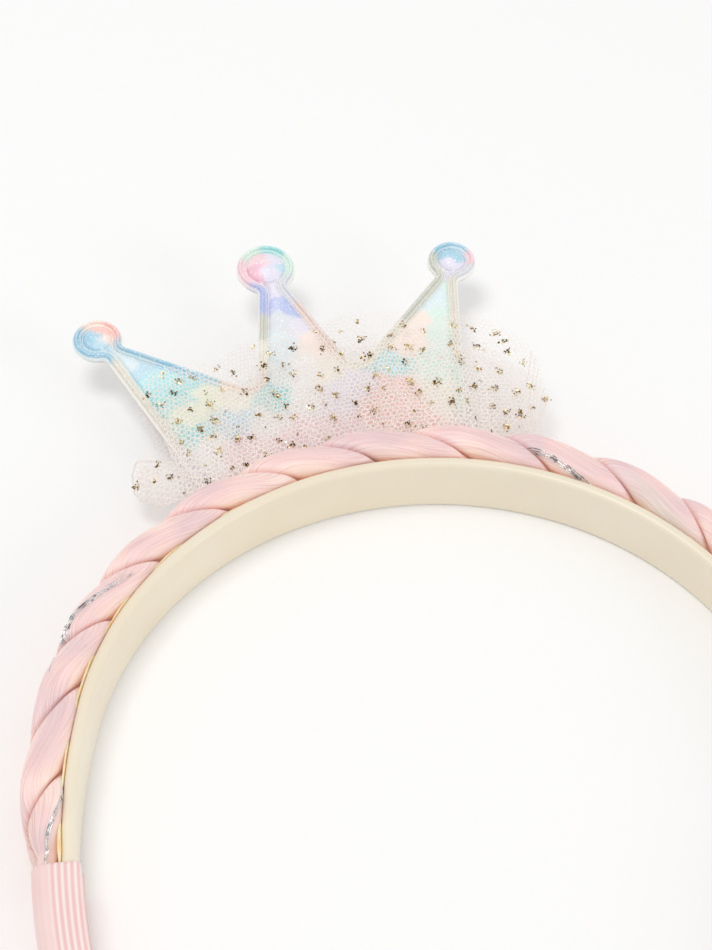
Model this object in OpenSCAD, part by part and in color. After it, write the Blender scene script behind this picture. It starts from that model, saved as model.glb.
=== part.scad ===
// Mini crown headband: a plastic hoop with a plaited hair trim glued along it,
// a puffy embossed crown at one side of the top, and a gathered net ruffle round its foot.
// It lies on its edge. +Z is up, +Y points to the top of the hoop, and the origin is the
// middle of the band's lower edge at the top of the hoop. Lengths are millimetres.

/* [Hoop] */
// Radius of the band's inner face over the top of the head
hoop_r = 59; // [54:0.5:66]
// Half angle of the top arc, before the flatter arms begin
top_arc = 82; // [76:1:86]
// Radius of the band's inner face along the arms
arm_r = 120; // [100:5:160]
// Depth of the hoop, from the outside of the top to the arm tips
hoop_depth = 117.7; // [112:0.5:124]
// Width of the band
band_w = 11.6; // [11:0.1:13]
// Thickness of the band
band_t = 2.2; // [1.8:0.1:2.8]
// Rounding of the band's edges
edge_r = 0.7; // [0.4:0.1:0.8]
// Width of the band at the arm tips
tip_w = 8; // [7:0.5:9]

/* [Plait] */
// Width of the plait across the band
braid_w = 13; // [12:0.25:13.5]
// Thickness of the plait, out from the band
braid_t = 6.4; // [5.6:0.1:7]
// Distance along the band from one crossing to the next
lobe_pitch = 13.8; // [12:0.2:16]
// Thickness of the plait under the ribbon, as a share of its full thickness
squeeze = 0.52; // [0.45:0.01:0.6]
// Thickness of the glue between the band and the plait
glue_t = 0.4; // [0.3:0.1:0.6]

/* [Ribbon] */
// Length of the ribbon wrap on each arm
wrap_len = 31; // [26:1:36]
// Wall of the wrap, ribbon and glue together
wrap_wall = 1; // [0.8:0.1:1.1]
// Length of bare band past the wrap
tip_bare = 5; // [4:0.5:8]

/* [Crown] */
// Angle of the crown's foot from the top of the hoop, towards the left
crown_at = 15.9; // [12:0.1:20]
// Extra lean of the crown to the left, past the hoop's radius
crown_lean = 1.5; // [0:0.5:4]
// Rise of the crown's points above level
crown_tilt = 6; // [3:0.5:8]
// Height of the middle disc's centre above the crown's foot
mid_h = 45.5; // [42:0.5:50]
// Radius of the middle disc
mid_r = 5.7; // [5.2:0.1:6.4]
// Half width of the neck under the middle disc
mid_neck = 3; // [2.6:0.1:3.4]
// Height of the side discs' centres above the crown's foot
side_h = 37.5; // [35:0.5:40]
// Sideways distance of the side discs' centres
side_out = 35.3; // [33:0.1:38]
// Radius of the side discs
side_r = 4.7; // [4.4:0.1:5.2]
// Half width of the necks under the side discs
side_neck = 2.3; // [2.2:0.1:2.6]
// Height of the bottom of each valley between the points
valley_h = 19.2; // [17:0.2:22]
// Sideways distance of the valleys
valley_out = 10.8; // [10:0.1:12]
// Radius of the valleys
valley_r = 2.2; // [1.5:0.1:3]
// Half width of the crown's foot
foot_half = 24.5; // [22:0.5:27]
// Radius of the foot's corners
foot_r = 2.6; // [2.4:0.1:3.5]
// Radius where a disc runs into its neck
fillet_r = 1.2; // [0.8:0.1:1.6]
// Width of the raised rim round the crown
rim_w = 1.85; // [1.6:0.05:2]
// Height of the raised rim
rim_h = 1.5; // [1.2:0.1:2]
// Height of the padded panel inside the rim
panel_h = 1.3; // [1:0.1:1.8]
// Thickness of the felt on the crown's back
felt_t = 1.2; // [1:0.1:1.6]
// Distance that the felt stays inside the crown's edge
felt_inset = 0.5; // [0.3:0.1:1]

/* [Net] */
// Height of the ruffle from its gather line to its free edge
net_h = 30; // [26:0.5:34]
// Thickness that the soft net takes up
net_t = 1; // [1:0.1:1.4]
// Depth of the ruffle's waves at its free edge
net_wave = 2.4; // [1.5:0.1:3]
// Angle from one wave to the next
net_wave_pitch = 8.6; // [7:0.1:12]

/* [Clearances] */
// Gap between hard pieces that are glued together
glue_gap = 0.1; // [0.05:0.05:0.15]
// Gap between a soft piece and its neighbour
soft_gap = 0.3; // [0.25:0.05:0.4]

/* [Hidden] */

RAD = 180 / PI;

// Hoop: the top arc's centre, the right arm's centre, and lengths along the inner face
hoop_y = -(hoop_r + band_t / 2);
arm_x = -(arm_r - hoop_r) * sin(top_arc);
arm_y = hoop_y - (arm_r - hoop_r) * cos(top_arc);
tip_y = band_t / 2 - hoop_depth;
tip_arc = acos((tip_y - arm_y) / arm_r);
top_len = hoop_r * top_arc / RAD;
tip_s = top_len + arm_r * (tip_arc - top_arc) / RAD;
wrap_s1 = tip_s - tip_bare;
wrap_s0 = wrap_s1 - wrap_len;
mid_z = band_w / 2;
wrapped_w = band_w - 2 * (wrap_wall + glue_gap);
wrap_y0 = hoop_point(wrap_s0, 0)[1];
taper_len = 24;
taper_y = wrap_y0 + taper_len;
arm_step = 0.04;
arm_overlap = 0.5;
arm_extra = 4;
cut = 20;

// Ribbon: it covers the plait up to wrap_closes of its length and is on the band at wrap_closed
wrap_closes = 0.8;
wrap_closed = 0.92;
wrap_round = 1.6;

// Plait: strand centres swing by swing_w across the band and swing_t away from it
swing_w = 0.25 * braid_w;
swing_t = 0.27 * braid_t;
braid_in = band_t + 2 * glue_gap + glue_t;
braid_z = braid_w / 2 + glue_gap;
braid_out = hoop_r + braid_in + braid_t;
braid_phase = 15;
braid_slant = 0.65;
roundness = 3.4;
strand_r = 0.36 * braid_w;
strand_gap = 0.9;
squeeze_len = 16;
squeeze_lead = 2.5;
braid_s1 = mix(wrap_s0, wrap_s1, wrap_closes) - braid_slant * braid_t / 2 - soft_gap;
strand_rings = 120;
strand_sides = 10;

// Crown: its own axes are sideways, up along its middle, and out of its front face
crown_r = braid_out + 1.5 * soft_gap;
crown_z = mid_z - felt_t;
hoop_in_crown = [crown_r * sin(-crown_lean), -crown_r * cos(crown_lean)];
front_n = felt_t + glue_gap;
net_n = front_n + rim_h + 1.4 * soft_gap;
back_n = -2 * soft_gap - net_t;
seam_h = 0.36 * rim_h;
neck_aim = [0.694 * foot_half, 0.4 * valley_h];

// Each arc of the crown's edge as centre x, centre y, signed radius and steps.
// The radius is positive where the edge bulges out and negative where it is hollow.
edge_arcs = concat(
    [foot_corner(1)],
    disc_arcs(1),
    [[valley_out, valley_h + valley_r, -valley_r, 5]],
    mid_arcs(),
    [[-valley_out, valley_h + valley_r, -valley_r, 5]],
    disc_arcs(-1),
    [foot_corner(-1)],
    [[hoop_in_crown[0], hoop_in_crown[1], -crown_r, 9]]
);

// Where the strands cross: distance from the top as a share of lobe_pitch, crossing
CROSSINGS = [
    [-9.10, -8.40], [-7.06, -6.50], [-5.80, -5.50], [-4.86, -4.50], [-3.82, -3.50],
    [-2.69, -2.50], [-1.75, -1.50], [-0.73, -0.50], [0.44, 0.50], [1.43, 1.50],
    [2.57, 2.50], [3.67, 3.50], [9.00, 8.50]
];

// Rim in steps: outer edge and inner edge as shares of rim_w, height as a share of rim_h
RIM = [[0.07, 0.93, 0.56], [0.15, 0.82, 0.78], [0.27, 0.70, 0.93], [0.38, 0.58, 1.00]];

// Padded panel in steps: edge as a share of rim_w, height as a share of panel_h
PANEL = [[1.04, 0.62], [1.10, 0.84], [1.18, 1.00]];

// Front net: angle from the top of the hoop, low edge and high edge as shares of
// net_h, sag of the sheet as a share of net_wave
FRONT_NET = [
    [-43.8, 0.28, 0.35, 1.9], [-42.4, 0.19, 0.45, 1.8], [-41.0, 0.14, 0.49, 1.5],
    [-39.0, 0.10, 0.41, 1.1], [-37.2, 0.06, 0.33, 0.7], [-36.2, 0.04, 0.56, 0.3],
    [-35.0, 0.02, 0.88, 0.0], [-31.3, 0.01, 0.87, 0.0], [-28.5, 0.01, 0.88, 0.0],
    [-25.5, 0.01, 0.80, 0.0], [-22.0, 0.01, 0.85, 0.0], [-18.8, 0.01, 0.91, 0.0],
    [-15.6, 0.01, 0.86, 0.0], [-12.3, 0.01, 0.89, 0.0], [-10.8, 0.01, 0.97, 0.0],
    [-6.0, 0.01, 0.95, 0.0], [-0.5, 0.01, 0.90, 0.0], [2.4, 0.01, 0.86, 0.1],
    [5.6, 0.01, 0.93, 0.4], [7.3, 0.01, 0.86, 0.5], [9.8, 0.02, 0.77, 0.7],
    [12.3, 0.03, 0.69, 0.9], [13.7, 0.05, 0.56, 1.0], [15.2, 0.15, 0.42, 1.2]
];

// Back net: the same columns, its sag measured down from the crown's felt
BACK_NET = [
    [-35.8, 0.02, 0.16, 0.4], [-35.0, 0.01, 0.60, 0.3], [-34.2, 0.01, 0.90, 0.2],
    [-31.0, 0.01, 0.82, 0.1], [-24.0, 0.01, 0.76, 0.1], [-15.0, 0.01, 0.82, 0.1],
    [-6.0, 0.01, 0.86, 0.1], [2.0, 0.01, 0.82, 0.1], [8.0, 0.01, 0.70, 0.1],
    [12.2, 0.02, 0.50, 0.1], [14.0, 0.05, 0.30, 0.1]
];
net_rows = 5;
net_step = 1.5;

// Point on the hoop: s runs along the inner face from the top, off is outwards from it
function hoop_point(s, off) =
    let (m = abs(s), side = s < 0 ? -1 : 1, on_top = m <= top_len)
    let (a = on_top ? m * RAD / hoop_r : top_arc + (m - top_len) * RAD / arm_r)
    let (c = on_top ? [0, hoop_y] : [arm_x, arm_y], r = on_top ? hoop_r : arm_r)
    [side * (c[0] + (r + off) * sin(a)), c[1] + (r + off) * cos(a)];

function lift(p, z) = [p[0], p[1], z];
function smooth(x) = let (c = max(0, min(1, x))) c * c * (3 - 2 * c);
function mix(a, b, x) = a + (b - a) * x;

function flatten(rows) = [for (row = rows) for (p = row) p];
function middle(ring) = [for (p = ring) 1] * ring / len(ring);

// Triangles between rings of points, the first ring and the last closed by caps. Each cell
// is split along the diagonal that lies nearer the middle, so that no facet stands proud.
function tube_faces(rings) =
    let (n = len(rings[0]), last = len(rings) - 1, mids = [for (ring = rings) middle(ring)])
    concat(
        [[for (i = [n - 1:-1:0]) i]],
        [for (k = [0:last - 1]) for (i = [0:n - 1])
            let (j = (i + 1) % n, here = rings[k], next = rings[k + 1])
            let (mid = mids[k] + mids[k + 1])
            let (nearer = norm(here[i] + next[j] - mid) < norm(here[j] + next[i] - mid))
            let (a = k * n + i, b = k * n + j)
            each nearer
                ? [[a, b, b + n], [a, b + n, a + n]]
                : [[a, b, a + n], [b, b + n, a + n]]],
        [[for (i = [0:n - 1]) last * n + i]]
    );

// Each strand's centre follows a figure of eight. Its section is the share of the plait's
// own section that lies nearer to it than to the other two, with its corners rounded off.
function strand_centre(t) = [swing_w * sin(t), swing_t * sin(2 * t)];
function wall_between(a, b) =
    let (d = b - a, l = norm(d)) [d[0] / l, d[1] / l, (l - strand_gap) / 2];
function strand_walls(t) =
    let (c = strand_centre(t), w = braid_w / 2, h = braid_t / 2)
    [
        [1, 0, w - c[0]], [-1, 0, w + c[0]], [0, 1, h - c[1]], [0, -1, h + c[1]],
        wall_between(c, strand_centre(t + 120)), wall_between(c, strand_centre(t - 120))
    ];
function sum(v, i = 0) = i < len(v) ? v[i] + sum(v, i + 1) : 0;
function reach(walls, d) =
    pow(pow(1 / strand_r, roundness)
        + sum([for (w = walls) pow(max(0, w[0] * d[0] + w[1] * d[1]) / w[2], roundness)]),
        -1 / roundness);

// How far the ribbon has squeezed the plait at s: from 0 to 1, just before the wrap begins
function squeezed(s) =
    let (x = (abs(s) - wrap_s0 + squeeze_lead + squeeze_len) / squeeze_len)
    pow(max(0, min(1, x)), 4);
function strand_ring(s, turn) =
    let (t = 120 * lookup(s / lobe_pitch, CROSSINGS) + braid_phase + turn)
    let (c = strand_centre(t), walls = strand_walls(t))
    [for (i = [0:strand_sides - 1])
        let (d = [cos(360 * i / strand_sides), sin(360 * i / strand_sides)])
        let (p = c + reach(walls, d) * d)
        plait_point(s - braid_slant * p[1], p[0], braid_t / 2 + p[1])];

// Point of the plait at s: u across the band from its middle, v out from the glue
function plait_point(s, u, v) =
    let (q = squeezed(s), half = band_half(hoop_point(s, 0)[1]) + glue_gap - soft_gap)
    let (kw = mix(1, 2 * half / braid_w, q), kt = mix(1, squeeze, q))
    lift(hoop_point(s, braid_in + kt * v), mix(braid_z, mid_z, q) + kw * u);

// Rounded box of the wrap, across the band at s: off from x0 to x1, z from z0 to z1
function wrap_ring(s, x0, x1, z0, z1, r0, r1) =
    let (corners = [[x1 - r1, z1 - r1, r1, 0], [x0 + r0, z1 - r0, r0, 90],
        [x0 + r0, z0 + r0, r0, 180], [x1 - r1, z0 + r1, r1, 270]])
    [for (c = corners) for (a = [0:30:90])
        lift(hoop_point(s, c[0] + c[2] * cos(c[3] + a)), c[1] + c[2] * sin(c[3] + a))];

// The wrap's station x (0 to 1 along it), drawn grow mm outside its inner wall.
// Its cover falls from 1 round the plait to 0 where it closes in on the band.
function wrap_station(side, x, grow) =
    let (s = mix(wrap_s0, wrap_s1, x))
    let (cover = smooth((wrap_closed - x) / (wrap_closed - wrap_closes)))
    let (half_w = band_half(hoop_point(s, 0)[1]) + glue_gap)
    let (full = braid_in + squeeze * braid_t + soft_gap, bare = band_t + glue_gap)
    wrap_ring(side * s, -glue_gap - grow, mix(bare, full, cover) + grow,
        mid_z - half_w - grow, mid_z + half_w + grow,
        glue_gap + grow, mix(glue_gap, wrap_round, cover) + grow);

// Half width of the band at y: full, then tapering to the wrap, then to the tip
function band_half(y) = y > taper_y ? band_w / 2
    : y > wrap_y0 ? mix(wrapped_w, band_w, (y - wrap_y0) / taper_len) / 2
    : mix(tip_w, wrapped_w, (y - tip_y) / (wrap_y0 - tip_y)) / 2;

// The arcs round a side disc and its two fillets, in the order that the edge meets them.
// Its neck comes down to neck_aim.
function disc_arcs(side) =
    let (down = atan2(neck_aim[1] - side_h, side * (neck_aim[0] - side_out)))
    around_disc([side * side_out, side_h], side_r, side_neck, down, 13);
function mid_arcs() = around_disc([0, mid_h], mid_r, mid_neck, -90, 15);
function around_disc(c, r, neck, down, steps) =
    let (a = asin((neck + fillet_r) / (r + fillet_r)), d = r + fillet_r)
    [
        [c[0] + d * cos(down + a), c[1] + d * sin(down + a), -fillet_r, 3],
        [c[0], c[1], r, steps],
        [c[0] + d * cos(down - a), c[1] + d * sin(down - a), -fillet_r, 3]
    ];

// A foot corner touches the hollow foot, whose centre is the hoop's own
function foot_corner(side) =
    let (x = side * (foot_half - foot_r * 0.8), r = crown_r + foot_r)
    [x, hoop_in_crown[1] + sqrt(r * r - pow(x - hoop_in_crown[0], 2)), foot_r, 6];

// Direction of the edge from arc a to arc b: their common tangent
function heading(a, b) =
    let (dx = b[0] - a[0], dy = b[1] - a[1], d = norm([dx, dy]))
    atan2(dy, dx) - asin(max(-1, min(1, (b[2] - a[2]) / d)));

// Arcs that touch share a point, and only the second one lists it
function touching(a, b) =
    abs(norm([b[0] - a[0], b[1] - a[1]]) - abs(a[2] - b[2])) < 0.001;

// The crown's edge moved inwards by inset, as one closed loop
function crown_edge(inset) =
    let (n = len(edge_arcs))
    [for (i = [0:n - 1])
        let (c = edge_arcs[i])
        let (a0 = heading(edge_arcs[(i + n - 1) % n], c), a1 = heading(c, edge_arcs[(i + 1) % n]))
        let (turn = c[2] > 0 ? positive(a1 - a0) : -positive(a0 - a1))
        for (k = [0:c[3] - (touching(c, edge_arcs[(i + 1) % n]) ? 1 : 0)])
            let (a = a0 + turn * k / c[3])
            [c[0] + (c[2] - inset) * sin(a), c[1] - (c[2] - inset) * cos(a)]];
function positive(a) = a - 360 * floor(a / 360);

// Height of the crown's plane n above its felt, at r from the hoop's centre
function crown_plane(r, n) = crown_z + (r - crown_r) * tan(crown_tilt) + n / cos(crown_tilt);

function net_at(table, a, col) = lookup(a, [for (row = table) [row[0], row[col]]]);

// Net sheet: columns at even angles, rows from its low edge to its high edge
function net_cols(table) = ceil((table[len(table) - 1][0] - table[0][0]) / net_step);
function net_point(table, i, j, front) =
    let (a0 = table[0][0], a1 = table[len(table) - 1][0], cols = net_cols(table))
    let (a = mix(a0, a1, i / cols))
    let (share = mix(net_at(table, a, 1), net_at(table, a, 2), j / net_rows))
    let (r = crown_r + net_h * share, sag = net_at(table, a, 3) * net_wave)
    let (wave = net_wave * min(1, share * 1.2) * (1 + sin(360 * a / net_wave_pitch)) / 2)
    let (z = front ? crown_plane(r, net_n) + wave - sag
        : crown_plane(r, back_n) - sag * (1.2 - share) - 0.15 * wave)
    [r * sin(a), hoop_y + r * cos(a), z];

// A closed sheet net_t thick: its lower face, its upper face and the strip round its edge
module net_sheet(table, front) {
    cols = net_cols(table);
    w = net_rows + 1;
    low = [for (i = [0:cols]) for (j = [0:net_rows]) net_point(table, i, j, front)];
    high = [for (p = low) p + [0, 0, net_t]];
    n = len(low);
    cells = [for (i = [0:cols - 1]) for (j = [0:net_rows - 1]) i * w + j];
    rim = concat(
        [for (i = [0:cols]) i * w],
        [for (j = [1:net_rows]) cols * w + j],
        [for (i = [cols - 1:-1:0]) i * w + net_rows],
        [for (j = [net_rows - 1:-1:1]) j]
    );
    m = len(rim);
    faces = concat(
        [for (c = cells) [c, c + w, c + w + 1]],
        [for (c = cells) [c, c + w + 1, c + 1]],
        [for (c = cells) [n + c, n + c + w + 1, n + c + w]],
        [for (c = cells) [n + c, n + c + 1, n + c + w + 1]],
        [for (k = [0:m - 1]) [rim[k], n + rim[k], n + rim[(k + 1) % m]]],
        [for (k = [0:m - 1]) [rim[k], n + rim[(k + 1) % m], rim[(k + 1) % m]]]
    );
    polyhedron(points = concat(low, high), faces = faces);
}

// Section of the band, its edges rounded in three flats
module band_section(r, inset) {
    corners = [[band_t - edge_r, band_w - edge_r, 0], [edge_r, band_w - edge_r, 90],
        [edge_r, edge_r, 180], [band_t - edge_r, edge_r, 270]];
    round_r = edge_r - inset;
    translate([r, 0])
        polygon([for (c = corners) for (a = [0:30:90])
            [c[0] + round_r * cos(c[2] + a), c[1] + round_r * sin(c[2] + a)]]);
}

// Carries one section round the top arc and a slightly smaller one down both arms, which
// start inside the top arc so that the three join into one solid
module along_hoop() {
    start = top_arc - arm_overlap;
    sweep = tip_arc - start + arm_extra;
    translate([0, hoop_y, 0]) rotate([0, 0, 90 - top_arc])
        rotate_extrude(angle = 2 * top_arc, $fn = 180) children(0);
    translate([arm_x, arm_y, 0]) rotate([0, 0, 90 - start - sweep])
        rotate_extrude(angle = sweep, $fn = 360) children(1);
    translate([-arm_x, arm_y, 0]) rotate([0, 0, 90 + start])
        rotate_extrude(angle = sweep, $fn = 360) children(1);
}

// What lies outside the band's side view at the arms: the taper and the round tips
module arm_trim(grow) {
    reach = 2 * (hoop_r + cut);
    tip_c = tip_y + tip_w / 2;
    translate([-reach / 2, 0, 0]) rotate([90, 0, 90]) linear_extrude(reach)
        difference() {
            translate([tip_y - cut, mid_z - band_w])
                square([taper_y - tip_y + cut, 2 * band_w]);
            polygon([
                [taper_y + 1, mid_z - band_w / 2 - grow], [taper_y, mid_z - band_w / 2 - grow],
                [wrap_y0, mid_z - wrapped_w / 2 - grow], [tip_c, mid_z - tip_w / 2 - grow],
                [tip_c, mid_z + tip_w / 2 + grow], [wrap_y0, mid_z + wrapped_w / 2 + grow],
                [taper_y, mid_z + band_w / 2 + grow], [taper_y + 1, mid_z + band_w / 2 + grow]
            ]);
            translate([tip_c, mid_z]) circle(r = tip_w / 2 + grow, $fn = 64);
        }
}

module place_crown() {
    translate([0, hoop_y, 0]) rotate([0, 0, crown_at])
        translate([0, crown_r, crown_z]) rotate([0, 0, crown_lean]) rotate([crown_tilt, 0, 0])
            children();
}

module band() {
    color("ivory") difference() {
        along_hoop() {
            band_section(hoop_r, 0);
            band_section(arm_r, arm_step);
        }
        arm_trim(0);
    }
}

module glue_strip() {
    inner = band_t + glue_gap;
    color("burlywood") difference() {
        along_hoop() {
            glue_section(hoop_r + inner, 0);
            glue_section(arm_r + inner, arm_step);
        }
        glue_ends();
    }
}

module glue_section(r, inset) {
    translate([r + inset, edge_r + inset])
        square([glue_t - 2 * inset, band_w - edge_r - 2 * inset]);
}

// The glue stops short of the ribbon's lower edge
module glue_ends() {
    end_y = hoop_point(braid_s1, 0)[1];
    reach = 2 * (hoop_r + cut);
    translate([-reach / 2, tip_y - cut, -cut])
        cube([reach, end_y - tip_y + cut, band_w + 2 * cut]);
    arm_trim(-edge_r);
}

module braid_strand(turn) {
    rings = [for (k = [0:strand_rings - 1])
        strand_ring(mix(-braid_s1, braid_s1, k / (strand_rings - 1)), turn)];
    color("pink") polyhedron(points = flatten(rings), faces = tube_faces(rings));
}

module ribbon_wrap(side) {
    stations = [0, 0.2, 0.4, 0.6, 0.8, 0.84, 0.88, 0.92, 1];
    outer = [for (x = stations) wrap_station(side, x, wrap_wall)];
    inner = [for (k = [len(stations) - 1:-1:0]) wrap_station(side, stations[k], 0)];
    rings = concat(outer, inner);
    count = len(rings);
    n = len(outer[0]);
    loops = [for (k = [0:count - 1]) for (i = [0:n - 1])
        let (a = k * n, b = (k + 1) % count * n, j = (i + 1) % n)
        side > 0 ? [a + i, b + i, b + j, a + j] : [a + i, a + j, b + j, b + i]];
    color("lightpink") polyhedron(points = flatten(rings), faces = loops);
}

// A flat seam all over, with the rim and the panel standing on it
module crown_front() {
    color("lightblue") place_crown() translate([0, 0, front_n]) {
        linear_extrude(seam_h) polygon(crown_edge(0));
        for (step = RIM) raised(step[2] * rim_h) difference() {
            polygon(crown_edge(step[0] * rim_w));
            polygon(crown_edge(step[1] * rim_w));
        }
        for (step = PANEL) raised(step[1] * panel_h) polygon(crown_edge(step[0] * rim_w));
    }
}

// Raises a flat shape to height h, from inside the seam's thickness
module raised(h) {
    translate([0, 0, seam_h / 2]) linear_extrude(h - seam_h / 2) children();
}

module crown_backing() {
    color("whitesmoke") place_crown() linear_extrude(felt_t) polygon(crown_edge(felt_inset));
}

module tulle_front() {
    color("mistyrose") net_sheet(FRONT_NET, true);
}

module tulle_back() {
    color("lavenderblush") net_sheet(BACK_NET, false);
}

band();
glue_strip();
braid_strand(0);  // braid_strand_1
braid_strand(120);  // braid_strand_2
braid_strand(240);  // braid_strand_3
ribbon_wrap(-1);  // ribbon_wrap_left
ribbon_wrap(1);  // ribbon_wrap_right
crown_front();
crown_backing();
tulle_front();
tulle_back();
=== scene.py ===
"""The looks of the mini crown headband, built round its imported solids.

Lengths in the tables and shape functions are millimetres in the part's own frame; solid() turns
them to metres as it makes the mesh. +Z is up, +Y points to the top of the hoop.
"""
import math

import bpy
import numpy as np
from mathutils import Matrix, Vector, geometry


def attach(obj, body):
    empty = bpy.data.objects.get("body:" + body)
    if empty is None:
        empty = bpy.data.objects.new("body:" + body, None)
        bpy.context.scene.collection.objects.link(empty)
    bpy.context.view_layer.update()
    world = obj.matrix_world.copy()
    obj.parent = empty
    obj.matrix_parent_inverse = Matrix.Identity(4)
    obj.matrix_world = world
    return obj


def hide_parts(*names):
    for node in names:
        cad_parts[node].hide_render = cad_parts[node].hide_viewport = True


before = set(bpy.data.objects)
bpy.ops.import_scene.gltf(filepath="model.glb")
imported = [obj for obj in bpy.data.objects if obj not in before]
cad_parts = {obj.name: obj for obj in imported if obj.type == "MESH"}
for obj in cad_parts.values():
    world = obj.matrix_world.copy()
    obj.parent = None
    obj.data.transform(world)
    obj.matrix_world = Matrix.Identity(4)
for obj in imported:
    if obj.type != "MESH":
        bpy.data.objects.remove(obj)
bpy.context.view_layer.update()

# The part's sizes
HOOP_R, TOP_ARC, ARM_R, HOOP_DEPTH = 59.0, math.radians(82), 120.0, 117.7
BAND_W, BAND_T, TIP_W, TAPER_LEN = 11.6, 2.2, 8.0, 24.0
BRAID_W, BRAID_T, LOBE_PITCH, SQUEEZE = 13.0, 6.4, 13.8, 0.52
GLUE_T, GLUE_GAP, SOFT_GAP = 0.4, 0.1, 0.3
WRAP_LEN, WRAP_WALL, TIP_BARE, WRAP_ROUND = 31.0, 1.0, 5.0, 1.6
WRAP_CLOSES, WRAP_CLOSED = 0.8, 0.92
CROWN_AT, CROWN_LEAN, CROWN_TILT = (math.radians(a) for a in (15.9, 1.5, 6.0))
FELT_T, FELT_INSET, RIM_H = 1.2, 0.5, 1.5
NET_H, NET_WAVE, NET_WAVE_PITCH = 30.0, 2.4, 8.6

HOOP_Y = -(HOOP_R + BAND_T / 2)
ARM_X = -(ARM_R - HOOP_R) * math.sin(TOP_ARC)
ARM_Y = HOOP_Y - (ARM_R - HOOP_R) * math.cos(TOP_ARC)
TIP_Y = BAND_T / 2 - HOOP_DEPTH
TIP_ARC = math.acos((TIP_Y - ARM_Y) / ARM_R)
TOP_LEN = HOOP_R * TOP_ARC
TIP_S = TOP_LEN + ARM_R * (TIP_ARC - TOP_ARC)
WRAP_S1 = TIP_S - TIP_BARE
WRAP_S0 = WRAP_S1 - WRAP_LEN
MID_Z = BAND_W / 2
WRAPPED_W = BAND_W - 2 * (WRAP_WALL + GLUE_GAP)
BRAID_IN = BAND_T + 2 * GLUE_GAP + GLUE_T
BRAID_Z = BRAID_W / 2 + GLUE_GAP
CROWN_R = HOOP_R + BRAID_IN + BRAID_T + 1.5 * SOFT_GAP
CROWN_Z = MID_Z - FELT_T
FRONT_N = FELT_T + GLUE_GAP


def hoop_point(s, off):
    """Point on the hoop: s runs along the inner face from the top, off is outwards from it."""
    m, side = np.abs(s), np.where(np.asarray(s) < 0, -1.0, 1.0)
    top = m <= TOP_LEN
    a = np.where(top, m / HOOP_R, TOP_ARC + (m - TOP_LEN) / ARM_R)
    r = np.where(top, HOOP_R, ARM_R) + off
    x = side * (np.where(top, 0.0, ARM_X) + r * np.sin(a))
    return x, np.where(top, HOOP_Y, ARM_Y) + r * np.cos(a)


WRAP_Y0 = float(hoop_point(WRAP_S0, 0)[1])
TAPER_Y = WRAP_Y0 + TAPER_LEN


def band_half(y):
    """Half width of the band at y: full, then a taper to the wrap, then one to the tip."""
    return np.interp(y, [TIP_Y, WRAP_Y0, TAPER_Y], [TIP_W / 2, WRAPPED_W / 2, BAND_W / 2])


def swept(s, out, across):
    """Rings of points along the hoop, one for each s: out from the inner face, across from the
    band's middle, and none past the tips."""
    x, y = hoop_point(s[:, None], out)
    return np.stack([x, np.maximum(y, TIP_Y), MID_Z + across], -1)


def mix(a, b, x):
    """a at 0, b at 1 and a straight line between."""
    return a + (b - a) * x


def smooth(x):
    """0 below 0, 1 above 1, and between them 3 x squared less 2 x cubed."""
    x = np.clip(x, 0, 1)
    return x * x * (3 - 2 * x)


def waves(x, seed, low=0.2, high=1.0):
    """A slow random line of x: a sum of sines whose frequencies lie between low and high."""
    r, count = np.random.default_rng(seed), 5
    speeds, starts = r.uniform(low, high, count), r.uniform(0, 2 * np.pi, count)
    return sum(np.sin(f * x + p) for f, p in zip(speeds, starts)) / count ** 0.5


def turned(x, y, angle):
    """A flat point turned by angle."""
    c, s = math.cos(angle), math.sin(angle)
    return x * c - y * s, x * s + y * c


# Meshes

MM = 0.001


def add_object(name, data, place=None, target=None):
    """Links a new object to the scene. With a place it stands there and looks at the target."""
    made = bpy.data.objects.new(name, data)
    bpy.context.scene.collection.objects.link(made)
    if place is not None:
        way = Vector(target) - Vector(place)
        made.location, made.rotation_euler = place, way.to_track_quat("-Z", "Y").to_euler()
    return made


def solid(name, points, faces, finish, stands_for=None, corner_uv=None, tint=None,
          shade_smooth=True):
    """Makes a mesh from points in mm and a list of face arrays, one row of indexes a face. It
    takes the place of the CAD node that it stands for."""
    mesh = bpy.data.meshes.new(name)
    faces = [np.asarray(f, np.int32) for f in faces if len(f)]
    loops = np.concatenate([f.ravel() for f in faces])
    sizes = np.concatenate([np.full(len(f), f.shape[1]) for f in faces])
    mesh.vertices.add(len(points))
    mesh.vertices.foreach_set("co", (np.asarray(points, float) * MM).ravel())
    mesh.loops.add(len(loops))
    mesh.loops.foreach_set("vertex_index", loops)
    mesh.polygons.add(len(sizes))
    mesh.polygons.foreach_set("loop_start", np.concatenate([[0], np.cumsum(sizes)[:-1]]))
    mesh.update(calc_edges=True)
    mesh.polygons.foreach_set("use_smooth", np.full(len(sizes), shade_smooth))
    if corner_uv is not None:
        layer = mesh.uv_layers.new(name="along")
        layer.data.foreach_set("uv", np.concatenate(corner_uv).astype(float).ravel())
    if tint is not None:
        layer = mesh.color_attributes.new("tint", "FLOAT_COLOR", "POINT")
        layer.data.foreach_set("color", np.c_[tint, np.ones(len(tint))].ravel())
    mesh.validate()
    mesh.materials.append(finish)
    piece = add_object(name, mesh)
    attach(piece, "root")
    if stands_for:
        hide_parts(stands_for)
    return piece


def grid(rows, cols):
    """Quads over rows of cols points, each row closed to a loop, and each corner's place in
    the grid as a UV."""
    i, j = (k.ravel() for k in np.meshgrid(np.arange(rows - 1), np.arange(cols), indexing="ij"))
    at = [(i, j), (i + 1, j), (i + 1, j + 1), (i, j + 1)]
    quads = np.stack([a * cols + b % cols for a, b in at], 1)
    uv = np.stack([np.stack([b / cols, a / (rows - 1)], -1) for a, b in at], 1)
    return quads, uv.reshape(-1, 2)


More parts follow.
